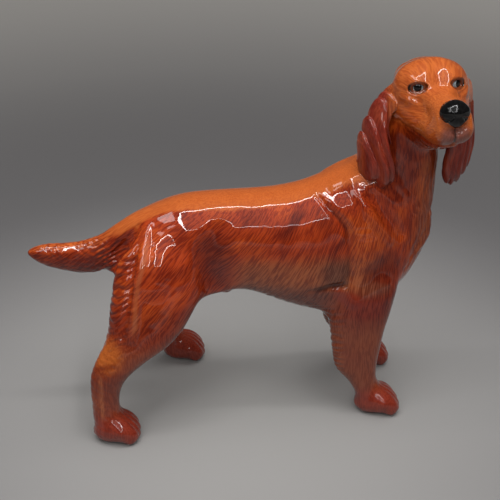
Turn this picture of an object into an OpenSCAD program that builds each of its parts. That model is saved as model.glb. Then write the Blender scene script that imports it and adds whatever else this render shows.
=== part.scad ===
// A standing gun dog figurine in glazed ceramic, made of slip castings luted together.
// Millimetres, +X from tail to chest, +Z up, soles on the ground at z = 0.

/* [Body] */
// Length of the trunk from the root of the tail to the base of the neck
body_l = 100; // [90:1:110]
// Height of the shoulders above the ground
body_h = 100; // [90:1:110]
// Width of the rib cage
body_w = 40; // [36:1:44]
// Wall of the hollow castings
wall = 3.5; // [3:0.25:4.5]
// Bore of the firing vent in the belly
vent_d = 5; // [3:0.5:7]
// Thickness of the slip layer in each luted joint
seam = 0.5; // [0.3:0.1:0.8]

/* [Head] */
// Length of the head from the back of the skull to the nose
head_l = 50; // [46:1:54]
// Height of the head from the crown to the jaw
head_h = 31; // [29:1:34]
// Width of the head across the cheeks
head_w = 28; // [26:1:30]
// Turn of the head to its right in degrees
head_turn = 86; // [70:1:90]
// Lean of the head to its right in degrees
head_lean = 3; // [0:0.5:6]

/* [Ears] */
// Length of an ear from its root to its tip
ear_l = 37; // [34:1:39]
// Width of an ear at its broadest
ear_w = 19; // [16:1:21]
// Thickness of an ear
ear_t = 5.6; // [4.5:0.1:6.5]

/* [Nose and eyes] */
// Width of the nose
nose_w = 10; // [9:0.5:11]
// Diameter of an eyeball
eye_d = 6.6; // [6:0.2:7.4]
// Diameter of the coloured ring of an eye
iris_d = 4.6; // [4:0.2:5.2]
// Diameter of a pupil
pupil_d = 2.4; // [1.8:0.2:3]
// Thickness of a coat of enamel
enamel = 0.4; // [0.3:0.05:0.6]

/* [Tail] */
// Length of the tail beyond the rump
tail_l = 38; // [30:1:46]
// Height of the tail at its root
tail_h = 18; // [15:1:20]
// Width of the tail at its root
tail_w = 11; // [9:1:13]

/* [Legs] */
// Width of a foreleg above the elbow
foreleg_w = 17; // [15:1:19]
// Width of a hind leg across the thigh
hind_leg_w = 23; // [21:1:25]
// Length of a paw
paw_l = 18.5; // [17:0.5:20]
// Width of a paw
paw_w = 17; // [15.5:0.5:18.5]
// Height of a paw
paw_h = 12.5; // [11:0.5:13.5]
// How far the left forefoot stands ahead of the right one
stride = 3; // [0:1:5]

/* [Hidden] */
// Overrun of a cut past the face that it opens
over = wall / 3;
// How full a section is: 1 gives an ellipse, less gives a squarer one
fullness_share = 0.9;

// The trunk from rump to skull. Each rib is the x and z of its upper end, the x and z of its lower end,
// its y and its half width, all as shares of the body's length, height and width.
trunk_shares = [
    [-0.500, 0.832, -0.540, 0.680, 0, 0.150],
    [-0.460, 0.875, -0.510, 0.620, 0, 0.280],
    [-0.380, 0.912, -0.420, 0.570, 0, 0.380],
    [-0.270, 0.950, -0.280, 0.555, 0, 0.420],
    [-0.140, 0.962, -0.140, 0.540, 0, 0.420],
    [0.000, 0.965, 0.000, 0.530, 0, 0.430],
    [0.120, 0.970, 0.120, 0.480, 0, 0.465],
    [0.240, 0.995, 0.240, 0.435, 0, 0.490],
    [0.340, 1.040, 0.360, 0.420, 0, 0.490],
    [0.420, 1.075, 0.500, 0.445, 0, 0.475],
    [0.450, 1.095, 0.600, 0.495, 0, 0.450],
    [0.470, 1.115, 0.675, 0.570, 0, 0.415],
    [0.485, 1.135, 0.720, 0.670, 0, 0.375],
    [0.493, 1.155, 0.750, 0.800, 0, 0.340],
    [0.498, 1.175, 0.763, 0.950, 0, 0.310],
    [0.500, 1.200, 0.763, 1.080, 0, 0.290],
    [0.503, 1.270, 0.760, 1.180, 0, 0.280],
    [0.530, 1.330, 0.755, 1.250, 0, 0.265],
    [0.580, 1.370, 0.740, 1.310, 0, 0.230]];
// Ribs of the trunk at the withers, from which the neck rises, and at the joint of the neck
withers_rib = 9;
neck_rib = 15;

// Muscles and bones under the skin: two round ends, each an x, y, z and radius, as shares of the body's
// length, width, height and width. The side ones are mirrored onto the left.
side_form_shares = [
    [[0.36, -0.08, 0.87, 0.27], [0.49, -0.22, 0.76, 0.25]],
    [[0.53, -0.20, 0.76, 0.24], [0.42, -0.24, 0.62, 0.23]],
    [[-0.29, -0.10, 0.80, 0.28], [-0.40, -0.12, 0.75, 0.25]],
    [[0.06, -0.15, 0.74, 0.285], [0.24, -0.18, 0.70, 0.31]],
    [[-0.20, -0.32, 0.61, 0.13], [-0.03, -0.20, 0.63, 0.15]]];
middle_form_shares = [
    [[0.69, 0, 0.70, 0.15], [0.70, 0, 0.79, 0.15]],
    [[-0.06, 0, 0.555, 0.08], [-0.14, 0, 0.545, 0.06]]];
// Where the vent opens along the belly, and the height that its bore reaches
vent_share = 0.10;
vent_reach = 0.60 * body_h;

// Legs from the trunk down: x and z of the front, x and z of the back, y, half width. The x, y and z are
// shares of the body and the half width is a share of the leg's own width.
foreleg_shares = [
    [0.600, 0.760, 0.410, 0.780, 0.150, 0.42],
    [0.615, 0.610, 0.360, 0.610, 0.305, 0.50],
    [0.595, 0.510, 0.335, 0.520, 0.363, 0.44],
    [0.578, 0.440, 0.325, 0.450, 0.388, 0.40],
    [0.560, 0.380, 0.330, 0.370, 0.413, 0.355],
    [0.546, 0.300, 0.340, 0.290, 0.438, 0.33],
    [0.535, 0.230, 0.355, 0.215, 0.455, 0.306],
    [0.531, 0.170, 0.405, 0.160, 0.465, 0.294],
    [0.530, 0.110, 0.440, 0.100, 0.470, 0.294],
    [0.540, 0.060, 0.450, 0.050, 0.470, 0.32]];
right_hind_shares = [
    [-0.220, 0.880, -0.460, 0.840, 0.090, 0.33],
    [-0.165, 0.750, -0.520, 0.740, 0.240, 0.49],
    [-0.170, 0.640, -0.545, 0.650, 0.325, 0.50],
    [-0.220, 0.545, -0.570, 0.560, 0.413, 0.46],
    [-0.270, 0.470, -0.580, 0.470, 0.500, 0.41],
    [-0.330, 0.410, -0.610, 0.390, 0.575, 0.35],
    [-0.410, 0.360, -0.636, 0.340, 0.625, 0.28],
    [-0.480, 0.310, -0.656, 0.295, 0.663, 0.25],
    [-0.530, 0.250, -0.661, 0.240, 0.680, 0.225],
    [-0.550, 0.170, -0.663, 0.165, 0.700, 0.21],
    [-0.545, 0.100, -0.660, 0.090, 0.713, 0.235],
    [-0.530, 0.050, -0.650, 0.040, 0.725, 0.24]];
left_hind_shares = [
    [-0.180, 0.880, -0.440, 0.840, 0.090, 0.33],
    [-0.125, 0.750, -0.500, 0.730, 0.240, 0.49],
    [-0.120, 0.640, -0.510, 0.630, 0.325, 0.50],
    [-0.150, 0.545, -0.530, 0.540, 0.400, 0.46],
    [-0.220, 0.460, -0.550, 0.470, 0.463, 0.39],
    [-0.290, 0.400, -0.560, 0.390, 0.513, 0.33],
    [-0.370, 0.350, -0.560, 0.330, 0.560, 0.275],
    [-0.430, 0.310, -0.530, 0.270, 0.620, 0.25],
    [-0.370, 0.240, -0.465, 0.185, 0.670, 0.225],
    [-0.325, 0.180, -0.415, 0.120, 0.710, 0.215],
    [-0.285, 0.130, -0.360, 0.050, 0.735, 0.235]];
// The rib at which each leg is joined to its stub on the torso
leg_rib = 4;
// Heel of each paw: x and y as shares of the body's length and width
fore_heel_shares = [0.452, 0.472];
right_hind_heel_shares = [-0.655, 0.730];
left_hind_heel_shares = [-0.360, 0.745];

// A paw from heel to toe: x, z of the top, x, z of the sole, y, half width, as shares of the paw
paw_shares = [
    [0.00, 0.56, 0.05, 0.06, 0, 0.23],
    [0.20, 0.88, 0.20, -0.05, 0, 0.37],
    [0.50, 0.96, 0.50, -0.05, 0, 0.47],
    [0.74, 0.80, 0.74, -0.05, 0, 0.49],
    [0.91, 0.52, 0.91, 0.02, 0, 0.42],
    [0.99, 0.32, 0.99, 0.14, 0, 0.25]];
// Each toe: knuckle and tip with the x, y, z and radius as shares of the paw's length, width, height, width
toe_shares = [
    [[0.58, -0.36, 0.50, 0.160], [0.76, -0.34, 0.185, 0.150]],
    [[0.68, -0.13, 0.56, 0.170], [0.87, -0.13, 0.195, 0.155]],
    [[0.68, 0.13, 0.56, 0.170], [0.87, 0.13, 0.195, 0.155]],
    [[0.58, 0.36, 0.50, 0.160], [0.76, 0.34, 0.185, 0.150]]];
// The flesh between the knuckles and the pastern
web_shares = [
    [[0.30, -0.20, 0.40, 0.20], [0.62, -0.24, 0.36, 0.17]],
    [[0.30, 0.20, 0.40, 0.20], [0.62, 0.24, 0.36, 0.17]],
    [[0.12, 0.00, 0.30, 0.20], [0.30, 0.00, 0.55, 0.22]],
    [[0.40, 0.00, 0.60, 0.26], [0.66, 0.00, 0.44, 0.22]]];

// The head from the back of the skull to the muzzle: x, z of the top, x, z of the underside, y, half width,
// as shares of the head, from the middle of the skull
head_shares = [
    [-0.260, 0.180, -0.240, -0.060, 0, 0.19],
    [-0.220, 0.290, -0.200, -0.260, 0, 0.34],
    [-0.140, 0.375, -0.100, -0.420, 0, 0.43],
    [-0.030, 0.415, 0.000, -0.490, 0, 0.48],
    [0.100, 0.405, 0.140, -0.500, 0, 0.48],
    [0.195, 0.350, 0.255, -0.495, 0, 0.430],
    [0.285, 0.265, 0.375, -0.480, 0, 0.365],
    [0.380, 0.220, 0.475, -0.450, 0, 0.315],
    [0.500, 0.215, 0.570, -0.400, 0, 0.285],
    [0.620, 0.212, 0.640, -0.335, 0, 0.262],
    [0.680, 0.192, 0.700, -0.230, 0, 0.222],
    [0.710, 0.150, 0.720, -0.090, 0, 0.155]];
// The ribs of the head between which it is hollow
hollow_head_ribs = [1, 7];
// Brow, upper and lower eyelid, temple, cheek, lip and whisker pad of one side: two round ends with x, y, z
// and radius, as shares of the head's length, width, height and width
face_shares = [
    [[0.140, 0.27, 0.220, 0.130], [0.190, 0.12, 0.235, 0.120]],
    [[0.180, 0.29, 0.235, 0.065], [0.215, 0.16, 0.240, 0.065]],
    [[0.180, 0.29, 0.155, 0.065], [0.220, 0.16, 0.135, 0.065]],
    [[-0.040, 0.22, 0.165, 0.230], [0.105, 0.23, 0.165, 0.205]],
    [[0.040, 0.31, -0.080, 0.170], [0.190, 0.24, -0.200, 0.160]],
    [[0.300, 0.18, -0.235, 0.150], [0.550, 0.13, -0.225, 0.140]],
    [[0.520, 0.13, -0.050, 0.155], [0.610, 0.11, -0.030, 0.145]]];
// The throat under the jaw, in the same way
throat_shares = [[0.370, 0, -0.260, 0.305], [0.000, 0, -0.440, 0.275]];
// Where the middle of the skull stands, as shares of the body's length, width and height
skull_shares = [0.695, -0.05, 1.370];
// Middle of an eyeball and of the tip of the nose, as shares of the head's length, width and height
eye_shares = [0.207, 0.224, 0.195];
nose_shares = [0.690, 0, 0.105];
// Directions of an eye's gaze: outward and upward, in degrees
gaze_out = 26;
gaze_up = 8;
// The two round halves of the tip of the nose, its lower lobe and its nostrils, as shares of the nose's
// width: forward, sideways and upward places and a radius
nose_half_shares = [0, 0.20, 0.06, 0.29];
nose_low_shares = [-0.10, 0, -0.32, 0.20];
nostril_shares = [0.26, 0.27, 0, 0.11];
// How far the enamel of the nose reaches back, as a share of the nose's width
nose_back_share = 0.15;

// An ear from inside the skull down to its tip: outward, backward and downward place, tilt in degrees,
// half width and half thickness. The drop is a share of the ear's length, the half thickness one of its
// thickness, and the rest are shares of its width. The right ear lies over the neck and the left hangs free.
right_ear_shares = [
    [-0.25, 0.02, 0.00, 90, 0.17, 0.50],
    [0.00, 0.02, 0.00, 90, 0.20, 0.55],
    [0.07, 0.09, 0.03, 60, 0.22, 0.56],
    [0.18, 0.16, 0.10, 25, 0.235, 0.52],
    [0.32, 0.20, 0.21, 8, 0.265, 0.48],
    [0.41, 0.21, 0.32, 3, 0.315, 0.46],
    [0.465, 0.19, 0.45, 0, 0.385, 0.48],
    [0.50, 0.17, 0.60, 0, 0.435, 0.50],
    [0.51, 0.16, 0.73, 0, 0.46, 0.50],
    [0.485, 0.12, 0.86, 0, 0.36, 0.45],
    [0.455, 0.08, 0.96, 0, 0.13, 0.20]];
left_ear_shares = [
    [-0.25, 0.02, 0.00, 90, 0.17, 0.50],
    [0.00, 0.02, 0.00, 90, 0.20, 0.55],
    [0.01, 0.02, 0.05, 60, 0.22, 0.56],
    [0.00, 0.02, 0.12, 25, 0.235, 0.50],
    [0.00, 0.02, 0.23, 8, 0.27, 0.46],
    [-0.01, 0.03, 0.34, 3, 0.33, 0.46],
    [-0.02, 0.01, 0.48, 0, 0.41, 0.48],
    [-0.03, -0.01, 0.64, 0, 0.465, 0.50],
    [-0.07, -0.04, 0.80, 0, 0.50, 0.50],
    [-0.11, -0.06, 0.96, 0, 0.43, 0.45],
    [-0.14, -0.08, 1.08, 0, 0.15, 0.20]];
// The rib of an ear that lies against the skull
ear_rib = 1;
// Root of an ear, as shares of the head's length, width and height from the middle of the skull
ear_root_shares = [0.07, 0.495, 0.025];
// Turn of each ear about the upright, in degrees from facing sideways
right_ear_turn = 45;
left_ear_turn = 50;

// The tail from the rump to the tip: x, z of the top, x, z of the underside, y, half width. The x is a share
// of the tail's length, z of its height and the half width of its width, from the middle of its root.
tail_shares = [
    [0.26, 0.82, 0.20, -0.16, 0, 0.62],
    [0.12, 0.68, 0.10, -0.30, 0, 0.56],
    [0.00, 0.48, -0.05, -0.54, 0, 0.50],
    [-0.18, 0.24, -0.24, -0.70, 0, 0.455],
    [-0.37, 0.10, -0.42, -0.71, 0, 0.42],
    [-0.55, 0.05, -0.59, -0.62, 0, 0.38],
    [-0.73, 0.05, -0.75, -0.51, 0, 0.33],
    [-0.88, -0.01, -0.88, -0.355, 0, 0.24],
    [-0.97, -0.11, -0.97, -0.18, 0, 0.08]];
// The rib at which the tail is joined to its stub on the rump
tail_rib = 2;
// Middle of the tail's root, as shares of the body's length and height
tail_root_shares = [-0.53, 0.75];

// Sides of the outlines of the larger castings, of their hollows and of the smaller castings, and outlines
// from one rib to the next
trunk_sides = 32;
hollow_sides = 20;
limb_sides = 20;
steps = 2;

// A value moved along a smooth curve through b and c, which a and d lead up to and away from
function smooth(a, b, c, d, t) =
    (2 * b + (c - a) * t + (2 * a - 5 * b + 4 * c - d) * t * t + (3 * b - a - 3 * c + d) * t * t * t) / 2;
// The rib at place s along a table, whole numbers being its own ribs
function rib_at(ribs, s) =
    let (last = len(ribs) - 1, i = min(floor(s), last - 1))
    smooth(ribs[max(i - 1, 0)], ribs[i], ribs[i + 1], ribs[min(i + 2, last)], s - i);
// A table of shares turned into millimetres
function sized(shares, length, height, side, width) =
    [for (r = shares) [r[0] * length, r[1] * height, r[2] * length, r[3] * height, r[4] * side, r[5] * width]];
function placed(shares, size) = [shares[0] * size[0], shares[1] * size[1], shares[2] * size[2]];
function full(v) = sign(v) * pow(abs(v), fullness_share);
// The outline of one rib, moved outwards by grow
function ring(r, grow, sides) =
    let (top = [r[0], r[4], r[1]], low = [r[2], r[4], r[3]], mid = (top + low) / 2,
         half = norm(top - low) / 2, along = (top - low) / (2 * half))
    [for (j = [0 : sides - 1])
        mid + along * (half + grow) * full(cos(360 * j / sides))
            + [0, 1, 0] * (r[5] + grow) * full(sin(360 * j / sides))];
// The outlines from one place of a table to another
function rings(ribs, from, to, sides, grow = 0) =
    [for (i = [0 : (to - from) * steps]) ring(rib_at(ribs, from + i / steps), grow, sides)];
// The way out of a rib's plane, towards the next ribs
function rib_normal(r) = let (n = cross([r[0] - r[2], 0, r[1] - r[3]], [0, 1, 0])) -n / norm(n);
function moved(outline, step) = [for (p = outline) p + step];
// The outlines beyond a joint: the first one stands off by the slip layer
function beyond(outlines, normal) =
    [for (i = [0 : len(outlines) - 1]) i == 0 ? moved(outlines[0], normal * seam) : outlines[i]];

body_size = [body_l, body_w, body_h];
paw_size = [paw_l, paw_w, paw_h];
head_size = [head_l, head_w, head_h];

trunk_ribs = sized(trunk_shares, body_l, body_h, body_w, body_w);
head_ribs = sized(head_shares, head_l, head_h, head_w, head_w);
paw_ribs = sized(paw_shares, paw_l, paw_h, paw_w, paw_w);
tail_root = [tail_root_shares[0] * body_l, 0, tail_root_shares[1] * body_h];
tail_ribs = [for (r = sized(tail_shares, tail_l, tail_h, tail_w, tail_w))
    [r[2] + tail_root[0], r[3] + tail_root[2], r[0] + tail_root[0], r[1] + tail_root[2], 0, r[5]]];
// side is -1 for the right and 1 for the left, and lead carries the foot forward below the joint
function leg_ribs(shares, side, width, lead) =
    [for (r = sized(shares, body_l, body_h, side * body_w, width))
        let (down = max(0, 1 - r[1] / (body_h * shares[leg_rib][1])))
        [r[0] + lead * down, r[1], r[2] + lead * down, r[3], r[4], r[5]]];
right_foreleg_ribs = leg_ribs(foreleg_shares, -1, foreleg_w, 0);
left_foreleg_ribs = leg_ribs(foreleg_shares, 1, foreleg_w, stride);
right_hind_ribs = leg_ribs(right_hind_shares, -1, hind_leg_w, 0);
left_hind_ribs = leg_ribs(left_hind_shares, 1, hind_leg_w, 0);
// The ribs of an ear in its own frame: x outward, y backward, z up
function ear_ribs(shares) =
    [for (s = shares)
        let (out = s[0] * ear_w, back = s[1] * ear_w, drop = s[2] * ear_l, half = s[5] * ear_t)
        [out + half * cos(s[3]), -drop + half * sin(s[3]),
         out - half * cos(s[3]), -drop - half * sin(s[3]), back, s[4] * ear_w]];
right_ear_ribs = ear_ribs(right_ear_shares);
left_ear_ribs = ear_ribs(left_ear_shares);

// The middle of the whole outline, which the origin stands under
tail_tip_x = tail_root[0] + tail_shares[len(tail_shares) - 1][0] * tail_l;
ear_reach_share = 0.39;
left_ear_x = skull_shares[0] * body_l + ear_root_shares[1] * head_w + ear_reach_share * ear_w;
nose_tip_y = skull_shares[1] * body_w - nose_shares[0] * head_l - nose_half_shares[3] * nose_w - enamel;
left_paw_y = left_hind_heel_shares[1] * body_w + paw_w / 2;
centre = [(tail_tip_x + left_ear_x) / 2, (nose_tip_y + left_paw_y) / 2, 0];

// A closed solid over a row of outlines
module skin(outlines) {
    n = len(outlines[0]);
    m = len(outlines);
    polyhedron(points = [for (o = outlines) each o],
        faces = concat(
            [[for (j = [n - 1 : -1 : 0]) j]],
            [[for (j = [0 : n - 1]) (m - 1) * n + j]],
            [for (i = [0 : m - 2], j = [0 : n - 1])
                [i * n + j, i * n + (j + 1) % n, (i + 1) * n + (j + 1) % n]],
            [for (i = [0 : m - 2], j = [0 : n - 1])
                [i * n + j, (i + 1) * n + (j + 1) % n, (i + 1) * n + j]]));
}

// A round-ended form between two places, each with a radius
module lobe(ends, size, width) {
    hull() for (e = ends)
        translate([e[0] * size[0], e[1] * size[1], e[2] * size[2]]) sphere(e[3] * width, $fn = 16);
}

// The flat layer of slip at a joint, over the outline of its rib
module slip_layer(r, sides) {
    outline = ring(r, 0, sides);
    skin([outline, moved(outline, rib_normal(r) * seam)]);
}

// The casting beyond the joint at one rib of a table
module beyond_joint(ribs, joint, sides) {
    skin(beyond(rings(ribs, joint, len(ribs) - 1, sides), rib_normal(ribs[joint])));
}

module stub(ribs, joint) {
    skin(rings(ribs, 0, joint, limb_sides));
}

module paw(heel, lead, side) {
    translate([heel[0] * body_l + lead, side * heel[1] * body_w, 0]) {
        skin(rings(paw_ribs, 0, len(paw_ribs) - 1, limb_sides));
        for (t = toe_shares) lobe(t, paw_size, paw_w);
        for (t = web_shares) lobe(t, paw_size, paw_w);
    }
}

// What stands above the ground
module above_ground() {
    difference() {
        children();
        translate([-body_l, -body_w, -paw_h]) cube([2 * body_l, 2 * body_w, paw_h]);
    }
}

module leg_casting(ribs, heel, lead, side) {
    color("sienna") above_ground() {
        union() {
            beyond_joint(ribs, leg_rib, limb_sides);
            paw(heel, lead, side);
        }
    }
}

module trunk_hollow(from, to) {
    skin(rings(trunk_ribs, from, to, hollow_sides, -wall));
}

// The outside of the neck, which the ears are fitted to
module neck() {
    skin(rings(trunk_ribs, withers_rib, len(trunk_ribs) - 1, trunk_sides));
}

module torso() {
    color("sienna") difference() {
        union() {
            skin(rings(trunk_ribs, 0, neck_rib, trunk_sides));
            for (form = middle_form_shares) lobe(form, body_size, body_w);
            for (form = side_form_shares, side = [0, 1])
                mirror([0, side, 0]) lobe(form, body_size, body_w);
            stub(right_foreleg_ribs, leg_rib);
            stub(left_foreleg_ribs, leg_rib);
            stub(right_hind_ribs, leg_rib);
            stub(left_hind_ribs, leg_rib);
            stub(tail_ribs, tail_rib);
        }
        trunk_hollow(1, neck_rib);
        translate([vent_share * body_l, 0, 0]) cylinder(d = vent_d, h = vent_reach, $fn = 32);
    }
}

module right_foreleg() {
    leg_casting(right_foreleg_ribs, fore_heel_shares, 0, -1);
}

module left_foreleg() {
    leg_casting(left_foreleg_ribs, fore_heel_shares, stride, 1);
}

module right_hind_leg() {
    leg_casting(right_hind_ribs, right_hind_heel_shares, 0, -1);
}

module left_hind_leg() {
    leg_casting(left_hind_ribs, left_hind_heel_shares, 0, 1);
}

module tail() {
    color("sienna") beyond_joint(tail_ribs, tail_rib, limb_sides);
}

// The head stands in its own frame: x forward, y to its left, z up
module in_head() {
    translate(placed(skull_shares, body_size)) rotate([head_lean, 0, -head_turn]) children();
}

// The frame of one eye: x along its gaze
module in_eye(side) {
    in_head() mirror([0, side > 0 ? 0 : 1, 0]) translate(placed(eye_shares, head_size))
        rotate([0, -gaze_up, gaze_out]) children();
}

// The frame of one ear at its root: x outward, y backward, z up
module in_ear(side) {
    in_head() mirror([0, side > 0 ? 0 : 1, 0]) translate(placed(ear_root_shares, head_size))
        rotate([0, 0, 90 - (side > 0 ? left_ear_turn : right_ear_turn)]) children();
}

// A ball of the nose at its shares, on one side, made larger by a coat of enamel
module nose_ball(shares, side, coat) {
    translate([shares[0], side * shares[1], shares[2]] * nose_w) sphere(shares[3] * nose_w + coat, $fn = 16);
}

module in_nose() {
    in_head() translate(placed(nose_shares, head_size)) children();
}

module nose_tip(coat) {
    in_nose() hull() {
        for (side = [-1, 1]) nose_ball(nose_half_shares, side, coat);
        nose_ball(nose_low_shares, 1, coat);
    }
}

module nostrils() {
    for (side = [-1, 1]) in_nose() nose_ball(nostril_shares, side, 0);
}

module head_outside() {
    in_head() {
        skin(rings(head_ribs, 0, len(head_ribs) - 1, trunk_sides));
        lobe(throat_shares, head_size, head_w);
        for (form = face_shares, side = [0, 1]) mirror([0, side, 0]) lobe(form, head_size, head_w);
    }
    nose_tip(0);
    for (side = [-1, 1]) in_eye(side) sphere(d = eye_d, $fn = 24);
}

module head() {
    color("sienna") difference() {
        union() {
            head_outside();
            beyond_joint(trunk_ribs, neck_rib, trunk_sides);
            in_ear(-1) stub(right_ear_ribs, ear_rib);
            in_ear(1) stub(left_ear_ribs, ear_rib);
        }
        in_head() skin(rings(head_ribs, hollow_head_ribs[0], hollow_head_ribs[1], hollow_sides, -wall));
        trunk_hollow(neck_rib, len(trunk_ribs) - 1);
        nostrils();
    }
}

module ear_casting(ribs, side) {
    color("maroon") difference() {
        in_ear(side) beyond_joint(ribs, ear_rib, limb_sides);
        head_outside();
        neck();
    }
}

module right_ear() {
    ear_casting(right_ear_ribs, -1);
}

module left_ear() {
    ear_casting(left_ear_ribs, 1);
}

module neck_seam() {
    normal = rib_normal(trunk_ribs[neck_rib]);
    inner = ring(trunk_ribs[neck_rib], -wall, hollow_sides);
    color("peru") difference() {
        slip_layer(trunk_ribs[neck_rib], trunk_sides);
        skin([moved(inner, -normal * over), moved(inner, normal * (seam + over))]);
    }
}

module ear_seam(ribs, side) {
    color("peru") difference() {
        in_ear(side) slip_layer(ribs[ear_rib], limb_sides);
        head_outside();
    }
}

module right_ear_seam() {
    ear_seam(right_ear_ribs, -1);
}

module left_ear_seam() {
    ear_seam(left_ear_ribs, 1);
}

module tail_seam() {
    color("peru") slip_layer(tail_ribs[tail_rib], limb_sides);
}

module right_foreleg_seam() {
    color("peru") slip_layer(right_foreleg_ribs[leg_rib], limb_sides);
}

module left_foreleg_seam() {
    color("peru") slip_layer(left_foreleg_ribs[leg_rib], limb_sides);
}

module right_hind_seam() {
    color("peru") slip_layer(right_hind_ribs[leg_rib], limb_sides);
}

module left_hind_seam() {
    color("peru") slip_layer(left_hind_ribs[leg_rib], limb_sides);
}

module nose_enamel() {
    color("black") difference() {
        nose_tip(enamel);
        head_outside();
        nostrils();
        in_nose() translate([-nose_w * (1 + nose_back_share), -nose_w, -nose_w])
            cube([nose_w, 2 * nose_w, 2 * nose_w]);
    }
}

// One coat of enamel on an eye, a round patch of the given size over the coats under it
module eye_coat(side, patch_d, under) {
    difference() {
        intersection() {
            in_eye(side) sphere(d = eye_d + 2 * (under + 1) * enamel, $fn = 24);
            in_eye(side) rotate([0, 90, 0]) cylinder(d = patch_d, h = eye_d, $fn = 24);
        }
        in_eye(side) sphere(d = eye_d + 2 * under * enamel, $fn = 24);
        head_outside();
    }
}

module right_eye_enamel() {
    color("lightslategray") eye_coat(-1, iris_d, 0);
}

module left_eye_enamel() {
    color("lightslategray") eye_coat(1, iris_d, 0);
}

module right_pupil() {
    color("black") eye_coat(-1, pupil_d, 1);
}

module left_pupil() {
    color("black") eye_coat(1, pupil_d, 1);
}

// Everything stands over the origin
module in_place() {
    translate(-centre) children();
}

in_place() torso();
in_place() head();
in_place() left_ear();
in_place() right_ear();
in_place() tail();
in_place() left_foreleg();
in_place() right_foreleg();
in_place() left_hind_leg();
in_place() right_hind_leg();
in_place() neck_seam();
in_place() left_ear_seam();
in_place() right_ear_seam();
in_place() tail_seam();
in_place() left_foreleg_seam();
in_place() right_foreleg_seam();
in_place() left_hind_seam();
in_place() right_hind_seam();
in_place() nose_enamel();
in_place() left_eye_enamel();
in_place() right_eye_enamel();
in_place() left_pupil();
in_place() right_pupil();
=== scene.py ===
"""Looks for the glazed ceramic gun dog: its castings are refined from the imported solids, glazed and lit."""

import copy
import math

import bmesh
import bpy
import numpy as np
import openvdb
from mathutils import Matrix, Vector


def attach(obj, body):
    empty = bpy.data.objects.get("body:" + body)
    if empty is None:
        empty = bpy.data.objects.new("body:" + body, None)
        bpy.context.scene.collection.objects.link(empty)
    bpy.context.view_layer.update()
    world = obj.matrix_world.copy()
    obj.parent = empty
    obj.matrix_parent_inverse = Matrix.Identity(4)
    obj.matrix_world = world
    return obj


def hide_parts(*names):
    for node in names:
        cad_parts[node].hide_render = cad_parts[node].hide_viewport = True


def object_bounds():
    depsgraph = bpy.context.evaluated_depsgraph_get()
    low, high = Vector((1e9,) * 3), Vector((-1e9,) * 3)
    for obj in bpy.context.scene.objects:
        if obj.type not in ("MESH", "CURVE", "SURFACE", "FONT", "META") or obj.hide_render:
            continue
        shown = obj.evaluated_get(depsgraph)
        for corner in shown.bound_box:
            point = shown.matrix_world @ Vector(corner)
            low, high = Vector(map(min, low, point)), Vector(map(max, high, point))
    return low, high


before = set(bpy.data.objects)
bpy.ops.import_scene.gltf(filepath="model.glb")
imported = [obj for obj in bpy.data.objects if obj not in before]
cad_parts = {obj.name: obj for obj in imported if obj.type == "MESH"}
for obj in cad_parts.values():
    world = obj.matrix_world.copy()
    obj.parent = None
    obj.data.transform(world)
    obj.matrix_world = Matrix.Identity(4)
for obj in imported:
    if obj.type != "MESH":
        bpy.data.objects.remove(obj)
cad_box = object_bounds()

MM = 0.001
COARSE = 0.6  # mm between the samples of the whole body
TRUNK = 0.58  # mm between those of the torso
MIDDLE = 0.42  # mm between those of the legs and the tail
FINE = 0.34  # mm between those of the head and the ears

# The head's own frame

SKULL = np.array([68.975, -1.105, 137.0])  # the middle of the skull
HEAD_TURN = math.radians(-86)
HEAD_LEAN = math.radians(3)
HEAD = np.array(Matrix.Rotation(HEAD_TURN, 3, "Z") @ Matrix.Rotation(HEAD_LEAN, 3, "X"))


def on_head(x, y, z):
    """A place given in millimetres forward, to the dog's left and up from the middle of the skull"""
    return SKULL + HEAD @ np.array([x, y, z], float)


def ramp(value, a, b):
    """0 where the value is under a, 1 where it is over b, soft between them"""
    t = np.clip((value - a) / (b - a), 0, 1)
    return t * t * (3 - 2 * t)


def fall(value, a, b):
    """1 where the value is under a, 0 where it is over b, soft between them"""
    return ramp(-value, -b, -a)


def band(value, a, b, c, d):
    """1 where the value is between b and c, 0 where it is under a or over d"""
    return ramp(value, a, b) * fall(value, c, d)


# Fields: distance to a surface, negative inside

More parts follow.
